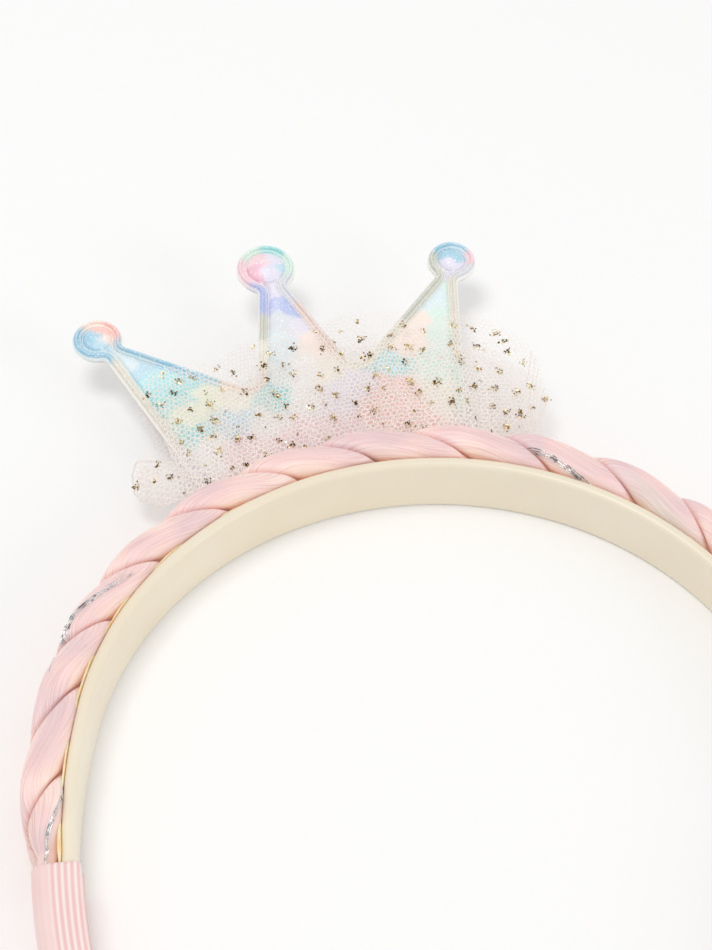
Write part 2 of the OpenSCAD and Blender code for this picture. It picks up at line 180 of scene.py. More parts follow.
def tube(rings):
    """Side quads and two fan caps over rings of points (rings, sides, 3), with their UVs."""
    n, m, _ = rings.shape
    quads, uv = grid(n, m)
    points = np.concatenate([rings.reshape(-1, 3), rings[:1].mean(1), rings[-1:].mean(1)])
    j = np.arange(m)
    after, last = (j + 1) % m, (n - 1) * m
    ends = np.concatenate([np.stack([np.full(m, n * m), j, after], 1),
                           np.stack([np.full(m, n * m + 1), last + after, last + j], 1)])
    return points, [quads, ends], [uv, np.zeros((2 * m * 3, 2))]


# Materials

def linear(code):
    """sRGB hex to linear colour, with an alpha of 1."""
    c = np.array([int(code[k:k + 2], 16) for k in (0, 2, 4)]) / 255
    return np.append(np.where(c <= 0.04045, c / 12.92, ((c + 0.055) / 1.055) ** 2.4), 1.0)


def set_up(tree, made, **settings):
    """Settings of a node: a name with a capital is an input's, in_ gives the number of an
    input, and any other name is a property's. An input takes a value, a socket, or a node for
    its first output."""
    for key, value in settings.items():
        if key.islower() and not key.startswith("in_"):
            setattr(made, key, value)
            continue
        target = made.inputs[int(key[3:]) if key.startswith("in_") else key.replace("_", " ")]
        value = value.outputs[0] if isinstance(value, bpy.types.Node) else value
        if isinstance(value, bpy.types.NodeSocket):
            tree.links.new(value, target)
        else:
            target.default_value = value


def node(tree, kind, stops=(), **settings):
    """Adds a node with its settings; stops are a ramp's places and colours."""
    made = tree.nodes.new("ShaderNode" + kind)
    for k, (place, code) in enumerate(stops):
        band = made.color_ramp.elements
        stop = band[k] if k < len(band) else band.new(place)
        stop.position, stop.color = place, linear(code)
    set_up(tree, made, **settings)
    return made


def finish(mat, **settings):
    """Sets up the material's shader, with plain values on the shader's own sockets."""
    mat.use_nodes = True
    set_up(mat.node_tree, mat.node_tree.nodes["Principled BSDF"], **settings)
    return mat


def material(name, **settings):
    """A new Principled material, its node tree, and the place on the object for patterns."""
    mat = finish(bpy.data.materials.new(name), **settings)
    return mat, mat.node_tree, node(mat.node_tree, "TexCoord").outputs["Object"]


# Settings of a Mix node that multiplies two colours
MULTIPLY = {"data_type": "RGBA", "blend_type": "MULTIPLY", "in_0": 1.0}


def ivory_abs():
    """Moulded ABS, ivory: an even, waxy cream with a soft gloss and faint flow clouds."""
    mat, tree, place = material(
        "ivory moulded ABS", Roughness=0.3, IOR=1.53, Subsurface_Weight=0.12,
        Subsurface_Scale=0.002, Subsurface_Radius=(1.0, 0.7, 0.4))
    cloud = node(tree, "TexNoise", Vector=place, Scale=45.0, Detail=3.0)
    colour = node(tree, "ValToRGB", [(0.3, "EEE2CB"), (0.7, "F3E9D5")], in_0=cloud)
    # Moulding texture of about 0.4 mm, drawn just strong enough to break up the gloss
    grain = node(tree, "TexNoise", Vector=place, Scale=2500.0, Detail=2.0)
    relief = node(tree, "Bump", Height=grain, Strength=0.1, Distance=0.00002)
    return finish(mat, Base_Color=colour, Normal=relief)


def hot_glue():
    """Hot-melt glue, aged to amber: clear-edged, wet-looking and uneven in colour, with a painted
    glow for the light passing through it."""
    # The emission is a painted glow that stands in for light passing through the glue.
    mat, tree, place = material(
        "amber hot-melt glue", Roughness=0.25, IOR=1.48, Subsurface_Weight=0.5,
        Subsurface_Scale=0.001, Emission_Strength=0.12)
    blot = node(tree, "TexNoise", Vector=place, Scale=260.0, Detail=3.0)
    colour = node(tree, "ValToRGB", [(0.35, "EED3A2"), (0.65, "F8EACB")], in_0=blot)
    relief = node(tree, "Bump", Height=blot, Strength=0.4, Distance=0.0002)
    return finish(mat, Base_Color=colour, Emission_Color=colour, Normal=relief)


def doll_hair():
    """Synthetic doll hair, drawn fibre: fine streaks along the strand, a silky highlight across
    them, mauve on the locks' backs, a painted peach glow at their sides, painted shade where they
    dip, one lock with a painted highlight, and a painted glow for the light through them."""
    # The emission is a painted glow that stands in for light through the fibre.
    mat, tree, place = material(
        "pink synthetic hair", Roughness=0.42, IOR=1.54, Anisotropic=0.5, Sheen_Weight=0.35,
        Sheen_Roughness=0.4, Subsurface_Weight=0.5, Subsurface_Scale=0.002,
        Subsurface_Radius=(1.0, 0.66, 0.5), Emission_Strength=0.1)
    uv = node(tree, "UVMap", uv_map="along")
    # A lock of 0.35 mm, drawn coarser than its hairs so that it shows, about 10 mm long
    lock = node(tree, "Mapping", Vector=uv, Scale=(78.0, 24.0, 1.0))
    locks = node(tree, "TexNoise", Vector=lock, Scale=1.0, Detail=3.0)
    hair = node(tree, "Mapping", Vector=uv, Scale=(260.0, 22.0, 1.0))
    hairs = node(tree, "TexNoise", Vector=hair, Scale=1.0, Detail=2.0)
    both = node(tree, "Math", in_0=locks, in_1=hairs, operation="ADD")
    half = node(tree, "Math", in_0=both, in_1=0.5, operation="MULTIPLY")
    streaks = node(tree, "ValToRGB", [
        (0.36, "E9DCDA"), (0.45, "F6F0EF"), (0.53, "FCF9F8"), (0.6, "FFFFFF")], in_0=half)
    # Dye that drifts from mauve to peach every 12 mm
    drift = node(tree, "TexNoise", Vector=place, Scale=80.0, Detail=1.0)
    dye = node(tree, "ValToRGB", [
        (0.36, "EEDDDF"), (0.47, "F6E2E1"), (0.56, "FBE7E3"), (0.66, "FEEFE8")], in_0=drift)
    # The strand's tint holds painted light: a peach glow at the locks' sides, shade where they
    # dip, and one highlight.
    side = node(tree, "Attribute", attribute_name="tint")
    base = node(tree, "Mix", **MULTIPLY, in_6=dye, in_7=side).outputs[2]
    colour = node(tree, "Mix", **MULTIPLY, in_6=base, in_7=streaks).outputs[2]
    grain = node(tree, "Tangent", direction_type="UV_MAP", uv_map="along")
    relief = node(tree, "Bump", Height=both, Strength=0.16, Distance=0.00005)
    return finish(mat, Base_Color=colour, Emission_Color=colour, Tangent=grain, Normal=relief)


def loose_hair():
    """The same fibre as single hairs, which let the light through and look paler; the emission is
    a painted glow for that light.
    """
    # The emission is a painted glow that stands in for light through the single hairs.
    mat, tree, place = material(
        "pink synthetic hair, single", Roughness=0.4, IOR=1.54, Emission_Strength=0.15)
    drift = node(tree, "TexNoise", Vector=place, Scale=300.0, Detail=1.0)
    colour = node(tree, "ValToRGB", [(0.35, "E6CCCD"), (0.65, "FBEBE6")], in_0=drift)
    return finish(mat, Base_Color=colour, Emission_Color=colour)


def tinsel_foil():
    """Metallised polyester tinsel, slit foil: a bright silver thread with crinkled glints, and
    painted reflections and glints in its colour.
    """
    mat, tree, place = material("silver polyester tinsel", Metallic=1.0, Roughness=0.18)
    # Crinkles of about 1.5 mm; the colour's dark grey and white tones are painted reflections and
    # glints
    crinkle = node(tree, "TexNoise", Vector=place, Scale=650.0, Detail=2.0)
    colour = node(tree, "ValToRGB", [
        (0.38, "707B81"), (0.45, "CFD6D8"), (0.54, "FFFFFF")], in_0=crinkle)
    relief = node(tree, "Bump", Height=crinkle, Strength=0.6, Distance=0.0001)
    return finish(mat, Base_Color=colour, Normal=relief)


def grosgrain():
    """Polyester grosgrain, woven: matt pale pink with a faint sheen, fine cross threads, and
    ribs with a painted highlight on their tops and painted shade in their grooves."""
    mat, tree, place = material(
        "pink polyester grosgrain", Roughness=0.62, IOR=1.5, Sheen_Weight=0.35,
        Sheen_Roughness=0.35)
    uv = node(tree, "UVMap", uv_map="along")
    # Fine threads cross the ribs every 0.28 mm
    thread = node(tree, "Mapping", Vector=uv, Scale=(1.0, 70.0, 1.0))
    wave = node(tree, "TexWave", Vector=thread, bands_direction="Y", Scale=1.0)
    fade = node(tree, "TexNoise", Vector=place, Scale=120.0, Detail=3.0)
    dye = node(tree, "ValToRGB", [(0.3, "FCE8E6"), (0.7, "FEEFEC")], in_0=fade)
    # The rib tint is painted light: shade in the grooves and a highlight on the crests.
    rib_shading = node(tree, "Attribute", attribute_name="tint")
    colour = node(tree, "Mix", **MULTIPLY, in_6=dye, in_7=rib_shading).outputs[2]
    relief = node(tree, "Bump", Height=wave.outputs[1], Strength=0.25, Distance=0.00005)
    return finish(mat, Base_Color=colour, Normal=relief)


def pearl_film():
    """Iridescent printed PU film, heat embossed: watercolour pastels under a pearly gloss,
    with grains of glitter whose glints are painted white, and a painted glow over the film."""
    # The emission is a painted glow of the print and its glints.
    mat, tree, place = material(
        "iridescent embossed film", Roughness=0.5, IOR=1.47, Metallic=0.06, Coat_Weight=0.1,
        Coat_Roughness=0.3, Sheen_Weight=0.2, Sheen_Roughness=0.3, Emission_Strength=0.09)
    # The tint holds the print, with painted shade along the welts' flanks.
    tint = node(tree, "Attribute", attribute_name="tint")
    # Glitter grains of 0.2 mm, each a cell with its own tilt; one in nine is lit, painted white as
    # a glint
    cells = node(tree, "TexVoronoi", Vector=place, Scale=5000.0)
    fine = node(tree, "TexNoise", Vector=place, Scale=1900.0, Detail=2.0)
    grain = node(tree, "SeparateColor", in_0=cells.outputs["Color"])
    lit = node(tree, "Math", in_0=grain, in_1=0.89, operation="GREATER_THAN")
    pale = node(tree, "Math", in_0=lit, in_1=fine, operation="MULTIPLY")
    print_with_painted_glints = node(tree, "Mix", data_type="RGBA", in_0=pale, in_6=tint,
                   in_7=linear("FFFFFF")).outputs[2]
    both = node(tree, "Math", in_0=grain.outputs[1], in_1=fine, operation="ADD")
    relief = node(tree, "Bump", Height=both, Strength=0.35, Distance=0.00005)
    return finish(mat, Base_Color=print_with_painted_glints, Emission_Color=print_with_painted_glints, Normal=relief)


def white_felt():
    """Needled polyester felt: white, matt and fuzzy, with matted fibres a few mm long."""
    mat, tree, place = material(
        "white needled felt", Roughness=0.95, Sheen_Weight=0.5, Sheen_Roughness=0.6)
    fibre = node(tree, "TexNoise", Vector=place, Scale=900.0, Detail=6.0, Roughness=0.7)
    colour = node(tree, "ValToRGB", [(0.3, "DEDAD8"), (0.6, "F4F1EE")], in_0=fibre)
    relief = node(tree, "Bump", Height=fibre, Strength=0.8, Distance=0.0003)
    return finish(mat, Base_Color=colour, Normal=relief)


def net_thread():
    """Soft nylon tulle, knitted: thin, slightly shiny threads of the palest pink, which pass
    on some of the light behind them, shown by a painted glow."""
    # The emission is a painted glow that stands in for light passing through the threads.
    mat, tree, place = material(
        "pale pink nylon tulle", Roughness=0.45, IOR=1.53, Sheen_Weight=0.3, Sheen_Roughness=0.4,
        Emission_Strength=0.12, Emission_Color=linear("FFFAF6"))
    fade = node(tree, "TexNoise", Vector=place, Scale=60.0, Detail=2.0)
    colour = node(tree, "ValToRGB", [(0.35, "E4DAD5"), (0.65, "EEE6E1")], in_0=fade)
    return finish(mat, Base_Color=colour)


def gold_foil():
    """Gold foil flakes, hot stamped: each flake's colour is a painted reflection, dark bronze as
    if tilted away or bright as if glinting, and some clusters are paler than others."""
    mat, tree, place = material("gold foil flakes", Metallic=1.0, Roughness=0.3)
    # One tone a flake of about 0.25 mm, painted from dark bronze to glinting pale gold as its
    # reflection, and a drift from cluster to cluster
    cells = node(tree, "TexVoronoi", Vector=place, Scale=2600.0)
    reflection_tone = node(tree, "SeparateColor", in_0=cells.outputs["Color"])
    drift = node(tree, "TexNoise", Vector=place, Scale=190.0, Detail=1.0)
    lifted = node(tree, "Math", in_0=drift, in_1=1.6, in_2=-0.75, operation="MULTIPLY_ADD")
    both = node(tree, "Math", in_0=reflection_tone, in_1=lifted, operation="ADD")
    colour = node(tree, "ValToRGB", [
        (0.15, "523A18"), (0.4, "957237"), (0.62, "D0AD69"), (0.85, "FBEDC4")], in_0=both)
    return finish(mat, Base_Color=colour)


# The band

def box_section(top, low, half, r_top, r_low, steps):
    """Loops of a rounded box, one for each item of the arrays, as offsets out from the inner
    face and across from the middle. Each corner is a quarter turn round its own centre."""
    out, across = [], []
    for edge, in_way, side, r, start in ((top, -1, 1, r_top, 0), (low, 1, 1, r_low, 90),
                                         (low, 1, -1, r_low, 180), (top, -1, -1, r_top, 270)):
        a = np.radians(start + np.linspace(0, 90, steps + 1))
        out.append((edge + in_way * r)[:, None] + r[:, None] * np.cos(a))
        across.append(side * (half - r)[:, None] + r[:, None] * np.sin(a))
    return np.concatenate(out, 1), np.concatenate(across, 1)


def make_band():
    """The section swept along the hoop; its half width is the band's own, cut by the round tip:
    the root of the tip radius squared less the distance from the tip's centre squared."""
    tip, edge_r = TIP_W / 2, 0.85
    end_arc = math.acos((TIP_Y - ARM_Y) / (ARM_R + BAND_T / 2))
    end = TOP_LEN + ARM_R * (end_arc - TOP_ARC)
    near = end - tip * (1 - np.cos(np.linspace(0, np.pi / 2, 20)))
    side = np.unique(np.round(np.concatenate([np.linspace(0, end - tip, 150), near]), 5))
    s = np.concatenate([-side[::-1], side[1:]])
    y = hoop_point(s, BAND_T / 2)[1]
    past = np.clip(TIP_Y + tip - y, 0, tip - 0.01)
    half = np.where(past > 0, np.sqrt(tip ** 2 - past ** 2), band_half(y))
    r = np.minimum(edge_r, half * 0.9)
    points, faces, uv = tube(swept(s, *box_section(BAND_T, 0, half, r, r, steps=6)))
    solid("headband_moulding", points, faces, ivory_abs(), "band", uv)


def make_glue():
    """A flattened bead between band and plait. Its edges wander: each is a slow random line
    along the hoop. The upper one is hidden on the right, comes up to the band's edge on the
    left, and swells near the left ribbon. The section is a circle whose cosine and sine are
    raised to powers that square it off."""
    end = mix(WRAP_S0, WRAP_S1, 0.5)
    s = np.linspace(-end, end, 900)
    half = band_half(hoop_point(s, 0)[1])
    left = smooth((-s - 20) / 60)
    swell = np.exp(-((s + WRAP_S0 - 3.5) / 2.6) ** 2)
    # In mm: margins to the band's edges, wander, the rise on the left and the swell
    high = half - 1.1 + 0.12 * waves(s, 3, low=0.2, high=1.6) + left + 0.99 * swell
    low = -half + 0.6 + 0.2 * waves(s, 4)
    thick = GLUE_T * (0.5 + 0.08 * waves(s, 5, low=0.4, high=2.0)) + 0.132 * swell
    a = np.linspace(0, 2 * np.pi, 13)[:-1]
    c, d = (np.sign(k) * np.abs(k) ** power for k, power in ((np.cos(a), 0.5), (np.sin(a), 0.25)))
    out = BAND_T + GLUE_GAP + GLUE_T / 2 + thick[:, None] * c
    across = (high + low)[:, None] / 2 + (high - low)[:, None] / 2 * d
    points, faces, uv = tube(swept(s, out, across))
    solid("glue_bead", points, faces, hot_glue(), "glue_strip", uv)


# The plait

# Where the strands cross: distance from the top as a share of LOBE_PITCH, crossing
CROSSINGS = np.array([
    [-9.10, -8.40], [-7.06, -6.50], [-5.80, -5.50], [-4.86, -4.50], [-3.82, -3.50],
    [-2.69, -2.50], [-1.75, -1.50], [-0.73, -0.50], [0.44, 0.50], [1.43, 1.50],
    [2.57, 2.50], [3.67, 3.50], [9.00, 8.50]])
SWING_W, SWING_T, PHASE, SLANT = 0.25 * BRAID_W, 0.27 * BRAID_T, 15, 0.65
SQUEEZE_LEN, SQUEEZE_LEAD = 16.0, 2.5
BRAID_S1 = mix(WRAP_S0, WRAP_S1, WRAP_CLOSES) - SLANT * BRAID_T / 2 - SOFT_GAP
# A strand's own radius, the power that rounds its cell, and how far it sinks into the glue
STRAND_R, CELL_POWER, SINK = 0.37 * BRAID_W, 4.0, 0.6


def strand_centre(t):
    """Figure of eight: the sine of t across the band, the sine of 2t away from it."""
    t = np.radians(t)
    return np.stack([SWING_W * np.sin(t), SWING_T * np.sin(2 * t)], -1)


def strand_reach(t, way):
    """How far a strand's skin lies from its centre: a rounded cell, whose walls are the plait's
    outline and the planes halfway to the other two strands."""
    c = strand_centre(t)
    walls = [(1, 0, BRAID_W / 2 - c[..., 0]), (-1, 0, BRAID_W / 2 + c[..., 0]),
             (0, 1, BRAID_T / 2 - c[..., 1]), (0, -1, BRAID_T / 2 + c[..., 1])]
    for turn in (120, -120):
        to = strand_centre(t + turn) - c
        far = np.linalg.norm(to, axis=-1)
        walls.append((to[..., 0] / far, to[..., 1] / far, far / 2))
    total = (1 / STRAND_R) ** CELL_POWER
    for nx, ny, far in walls:
        total = total + (np.maximum(0, nx * way[..., 0] + ny * way[..., 1]) / far) ** CELL_POWER
    return total ** (-1 / CELL_POWER)


def plait_point(s, u, v):
    """Point of the plait: u across the band from its middle, v out from the glue. The ribbon
    squeezes it towards the band, and the side on the band sinks into the glue."""
    v = v - SINK * np.clip(1 - v / BRAID_T, 0, 1) ** 2
    q = np.clip((np.abs(s) - WRAP_S0 + SQUEEZE_LEAD + SQUEEZE_LEN) / SQUEEZE_LEN, 0, 1) ** 4
    half = band_half(hoop_point(s, 0)[1]) + GLUE_GAP - SOFT_GAP
    x, y = hoop_point(s, BRAID_IN + mix(1, SQUEEZE, q) * v)
    z = mix(BRAID_Z, MID_Z, q) + mix(1, 2 * half / BRAID_W, q) * u
    return np.stack([x, y, z], -1)


def strand_section(s, angle, turn):
    """Centre of a strand's section at s, and its skin's distance and direction at angle."""
    t = 120 * np.interp(s / LOBE_PITCH, CROSSINGS[:, 0], CROSSINGS[:, 1]) + PHASE + turn
    way = np.stack([np.cos(angle), np.sin(angle)], -1)
    return strand_centre(t), strand_reach(t, way), way


def strand_skin(s, angle, turn, lift=0.0):
    """Point on a strand's skin at s along it and angle round it, lifted off it by lift."""
    centre, far, way = strand_section(s, angle, turn)
    p = centre + (far + lift)[..., None] * way
    return plait_point(s - SLANT * p[..., 1], p[..., 0], BRAID_T / 2 + p[..., 1])


def make_strand(number, finish):
    """The strand's skin on a grid of s and angle. Hair locks are ridges across the angle whose
    phase drifts along the strand: the sum of three sines of the angle, 0.02 mm high."""
    turn = 120 * (number - 1)
    s = np.linspace(-BRAID_S1, BRAID_S1, 640)[:, None]
    a = np.linspace(0, 2 * np.pi, 105)[None, :-1]
    locks = sum(h * np.sin(k * a + 1.8 * waves(s, 10 * number + k, low=0.05, high=0.3))
                for k, h in ((11, 0.012), (19, 0.006), (34, 0.003)))
    points, faces, uv = tube(strand_skin(s, a + 0.0 * s, turn, locks))
    back, flank_glow, deep, white = (linear(code)[:3] for code in ("F8EFEF", "FFF8F1", "EBCBB9",
                                                              "EAF5EE"))
    # Mauve on the side that faces up, and a painted glow of paler peach where a lock turns down to
    # its neighbour, for light through the fibre at its edges
    off_top = np.abs((a + 0.12 * waves(s, 60 + number) + np.pi) % (2 * np.pi) - np.pi)
    tint = mix(back, flank_glow, smooth((off_top - 0.35) / 0.75)[..., None])
    # Painted shade: warmer and darker where it dips between its neighbours, most of all beside the
    # band
    centre, far, way = strand_section(s, a, turn)
    up, out = (centre[..., k] + far * way[..., k] for k in (0, 1))
    crease_shade = smooth((0.4 * BRAID_W - up) / 2.0) * mix(0.45, 1.0, smooth((0.5 - out) / 2.5))
    tint = mix(tint, deep, 0.9 * crease_shade[..., None])
    # A painted highlight: one lock right of the crown is nearly white on its lower side
    pale = (number == 2) * np.exp(-((s - 40) / 7) ** 2) * smooth((0.2 - np.sin(a)) / 0.7)
    tint = mix(tint, white, 0.85 * pale[..., None])
    tint = np.concatenate([tint.reshape(-1, 3), [flank_glow, flank_glow]])
    solid(f"hair_strand_{number}", points, faces, finish,
          f"braid_strand_{number}", uv, tint)


def thread_tube(lines, radius, flat=1.0):
    """Thin tubes of four sides round many lines at once: lines (n, k, 3) in mm, and one radius
    or one a line. Each ring stands across the line's direction. Returns points and quads."""
    n, k, _ = lines.shape
    along = np.gradient(lines, axis=1)
    along /= np.maximum(np.linalg.norm(along, axis=2, keepdims=True), 1e-9)
    side = np.cross(along, (0.0, 0.0, 1.0))
    side /= np.maximum(np.linalg.norm(side, axis=2, keepdims=True), 1e-9)
    up = flat * np.cross(side, along)
    a = np.linspace(0, 2 * np.pi, 5)[:-1, None]
    grow = (radius * np.ones((n, k)))[..., None, None]
    rings = lines[:, :, None] + grow * (side[:, :, None] * np.cos(a) + up[:, :, None] * np.sin(a))
    cap = np.arange(4)
    faces = np.concatenate([grid(k, 4)[0], [cap[::-1], (k - 1) * 4 + cap]])[:, ::-1]
    return rings.reshape(-1, 3), (faces + 4 * k * np.arange(n)[:, None, None]).reshape(-1, 4)


# Silver threads on the plait: strand, start and end along the hoop in mm, start and end angle
# in degrees, how many threads lie side by side, and half a thread's width
TINSEL = [
    (3, -75.5, -61.0, 14, 8, 9, 0.045), (3, -75.5, -68.0, 14, 13, 2, 0.08),
    (1, -80.5, -74.5, 24, 54, 1, 0.08), (3, -114.0, -100.5, 350, 316, 3, 0.1),
    (3, 11.2, 24.5, 337, 303, 4, 0.1),
]


def make_tinsel():
    """Flat foil threads that follow the strand's skin, each a little apart."""
    r = np.random.default_rng(7)
    lines, half = [], []
    for strand, s0, s1, a0, a1, count, wide in TINSEL:
        # The angle runs the shorter way round the strand
        a1 = a1 if abs(a1 - a0) < 180 else a1 + 360 * np.sign(a0 - a1)
        x = np.linspace(0, 1, 40)
        for k in range(count):
            spread = (k - (count - 1) / 2) * (22.0 / max(count, 5))
            lift = 0.06 + 0.08 * np.abs(waves(x * 12, r.integers(99))) * (x * (1 - x) * 4) ** 0.5
            s = mix(s0 + r.uniform(-1.5, 1.5), s1 + r.uniform(-3, 1.5), x)
            a = np.radians(mix(a0, a1, x) + spread + 2.5 * waves(x * 7, r.integers(99)))
            lines.append(strand_skin(s, a, 120 * (strand - 1), lift))
            half.append([wide])
    points, faces = thread_tube(np.array(lines), np.array(half), flat=0.3)
    solid("silver_tinsel", points, [faces], tinsel_foil())


def make_stray_hairs(finish):
    """Single hairs of 0.06 mm: most lie along a strand just off its skin, and some lift away
    over the right half of the plait in shallow arcs."""
    r = np.random.default_rng(11)
    n, x = 260, np.linspace(0, 1, 26)[None, :]
    s0, length = r.uniform(-118, 118, (n, 1)), r.uniform(7, 18, (n, 1))
    turn, a0 = r.integers(0, 3, (n, 1)) * 120, r.uniform(0, 2 * np.pi, (n, 1))
    a = a0 + r.uniform(-0.3, 0.3, (n, 1)) * x
    off = r.uniform(0.01, 0.05, (n, 1)) + r.uniform(0, 0.12, (n, 1)) * np.sin(np.pi * x)
    loose = (r.uniform(0, 1, (n, 1)) < 0.14) & (s0 > 0)
    off = np.where(loose, 0.05 + r.uniform(0.4, 1.8, (n, 1)) * np.sin(np.pi * x) ** 1.5, off)
    a = np.where(loose, r.uniform(0.2, 1.4, (n, 1)) + 0.2 * x, a)
    lines = strand_skin(np.clip(s0 + length * x, -BRAID_S1, BRAID_S1), a, turn, off)
    points, faces = thread_tube(lines, 0.03)
    solid("stray_hairs", points, [faces], finish)


# The ribbon wraps: a rib's pitch and depth, the lap of its cut edge, and its rounded end
RIB_PITCH, RIB_DEPTH, LAP, END_ROUND = 1.0, 0.16, 0.28, 0.25


def make_wrap(side, finish):
    """Rings of a rounded box along the arm, out over the ribbon's outside and back under it.
    Across the outside the wall carries ribs: the absolute cosine of the distance round it, and
    less of it where the ribbon is drawn round the plait's outer side."""
    name = "left" if side < 0 else "right"
    rows, count = 90, 288
    x = np.concatenate([np.linspace(0, 1, rows), np.linspace(1, 0, rows)])
    outer = np.where(np.arange(2 * rows) < rows, 1.0, 0.0)
    s = mix(WRAP_S0, WRAP_S1, x)
    cover = smooth((WRAP_CLOSED - x) / (WRAP_CLOSED - WRAP_CLOSES))
    half = band_half(hoop_point(s, 0)[1]) + GLUE_GAP
    # The wall leaves room for its ribs, and is rounded near each end, over 0.012 of its length
    ends = 2 - smooth(x / 0.012) - smooth((1 - x) / 0.012)
    grow = outer * (WRAP_WALL * 0.72 - END_ROUND * ends)
    high = mix(BAND_T + GLUE_GAP, BRAID_IN + SQUEEZE * BRAID_T + SOFT_GAP, cover)
    r_out = mix(GLUE_GAP, WRAP_ROUND, cover) + grow
    out, across = box_section(high + grow, -GLUE_GAP - grow, half + grow, r_out,
                              GLUE_GAP + grow, steps=8)
    # Resample each loop at even distances, so that the ribs are even
    out, across = (np.concatenate([k, k[:, :1]], 1) for k in (out, across))
    gone = np.cumsum(np.hypot(np.diff(out), np.diff(across)), 1)
    gone = np.pad(gone, ((0, 0), (1, 0)))
    # Rows stand 1000 mm apart, so that one call resamples them all
    row, girth = 1000.0 * np.arange(2 * rows)[:, None], gone[:, -1:]
    u = np.linspace(0, 1, count + 1)[None, :-1]
    out, across = (np.interp(u * girth + row, (gone + row).ravel(), k.ravel())
                   for k in (out, across))
    ribs = round(girth[rows // 2, 0] / RIB_PITCH)
    # Full ribs from 0.14 to 0.58 of the way round, where the ribbon lies on the band
    flat_face = 0.1 + 0.9 * smooth((u - 0.11) / 0.03) * smooth((0.62 - u) / 0.04)
    swing = waves(x * 3, 20 + side)[:, None] + 0.6 * np.sin(9 * u + 3)
    crest = np.abs(np.cos(np.pi * ribs * u + 0.35 * swing))
    # The ribbon's cut edge laps over itself on the inner face
    lap = LAP * smooth((u - 0.36) / 0.006) * smooth((0.5 - u) / 0.14)
    puff = outer[:, None] * (RIB_DEPTH * flat_face * (crest - 0.6) + lap)
    out_off, across_off = (k - k.mean(1, keepdims=True) for k in (out, across))
    puff = puff / np.hypot(out_off, across_off)
    rings = swept(side * s, out + out_off * puff, across + across_off * puff)
    quads, uv = grid(2 * rows + 1, count)
    quads = quads % (2 * rows * count)
    if side < 0:
        quads, uv = quads[:, ::-1], uv.reshape(-1, 4, 2)[:, ::-1].reshape(-1, 2)
    # Colour of the ribs, from the groove to the crest: painted shade in the groove and a painted
    # highlight on the crest
    groove_shade, top = (linear(code)[:3] for code in ("F4D6D5", "FFFFFE"))
    tint = mix(groove_shade, top, mix(0.45, crest ** 2.6, flat_face)[..., None])
    return solid(f"grosgrain_wrap_{name}", rings.reshape(-1, 3), [quads], finish,
                 f"ribbon_wrap_{name}", [uv], tint.reshape(-1, 3))


# The crown

# The crown's outline as arcs: centre across, centre up, signed radius. The radius is positive
# where the edge bulges out and negative where it is hollow.
MID_H, MID_R, MID_NECK, SIDE_H, SIDE_OUT, SIDE_R, SIDE_NECK = 45.5, 5.7, 3.0, 37.5, 35.3, 4.7, 2.3
VALLEY_H, VALLEY_OUT, VALLEY_R, FOOT_HALF, FOOT_R, FILLET_R = 19.2, 10.8, 2.2, 24.5, 2.6, 1.2
HOOP_IN_CROWN = (CROWN_R * math.sin(-CROWN_LEAN), -CROWN_R * math.cos(CROWN_LEAN))


def around_disc(cx, cy, r, neck, down):
    """A point's disc and the fillet on each side of its neck, which runs in the direction down."""
    a, d = math.asin((neck + FILLET_R) / (r + FILLET_R)), r + FILLET_R
    return [(cx + d * math.cos(down + a), cy + d * math.sin(down + a), -FILLET_R), (cx, cy, r),
            (cx + d * math.cos(down - a), cy + d * math.sin(down - a), -FILLET_R)]


def foot_corner(side):
    """The round corner at a foot, which touches the plait's outer side."""
    x, r = side * (FOOT_HALF - FOOT_R * 0.8), CROWN_R + FOOT_R
    return (x, HOOP_IN_CROWN[1] + math.sqrt(r * r - (x - HOOP_IN_CROWN[0]) ** 2), FOOT_R)


def side_disc(side):
    """A side point's disc, its neck drawn towards the crown's foot."""
    down = math.atan2(0.4 * VALLEY_H - SIDE_H, side * (0.694 * FOOT_HALF - SIDE_OUT))
    return around_disc(side * SIDE_OUT, SIDE_H, SIDE_R, SIDE_NECK, down)


def crown_outline(step):
    """The outline as points about step apart and the outward direction at each: arcs joined by
    the straight lines that touch them."""
    arcs = ([foot_corner(1)] + side_disc(1) + [(VALLEY_OUT, VALLEY_H + VALLEY_R, -VALLEY_R)]
            + around_disc(0, MID_H, MID_R, MID_NECK, -math.pi / 2)
            + [(-VALLEY_OUT, VALLEY_H + VALLEY_R, -VALLEY_R)] + side_disc(-1)
            + [foot_corner(-1), (*HOOP_IN_CROWN, -CROWN_R)])

    def heading(a, b):
        """The direction of the line that touches two arcs."""
        dx, dy = b[0] - a[0], b[1] - a[1]
        lean = max(-1.0, min(1.0, (b[2] - a[2]) / math.hypot(dx, dy)))
        return math.atan2(dy, dx) - math.asin(lean)

    points, out = [], []
    for i, (cx, cy, r) in enumerate(arcs):
        after = arcs[(i + 1) % len(arcs)]
        a0, a1 = heading(arcs[i - 1], arcs[i]), heading(arcs[i], after)
        turn = (a1 - a0) % (2 * math.pi) if r > 0 else -((a0 - a1) % (2 * math.pi))
        a = a0 + turn * np.linspace(0, 1, max(4, math.ceil(abs(turn * r) / step)) + 1)
        way = np.stack([np.sin(a), -np.cos(a)], 1)
        arc = np.array([cx, cy]) + r * way
        to = np.array(after[:2]) + after[2] * way[-1]
        run = np.linalg.norm(to - arc[-1])
        x = np.linspace(0, 1, max(1, math.ceil(run / step)) + 1)[1:-1, None]
        if run < 0.001:
            arc, way = arc[:-1], way[:-1]
        points += [arc, arc[-1] + (to - arc[-1]) * x]
        out += [way, np.repeat(way[-1:], len(x), 0)]
    return np.concatenate(points), np.concatenate(out)


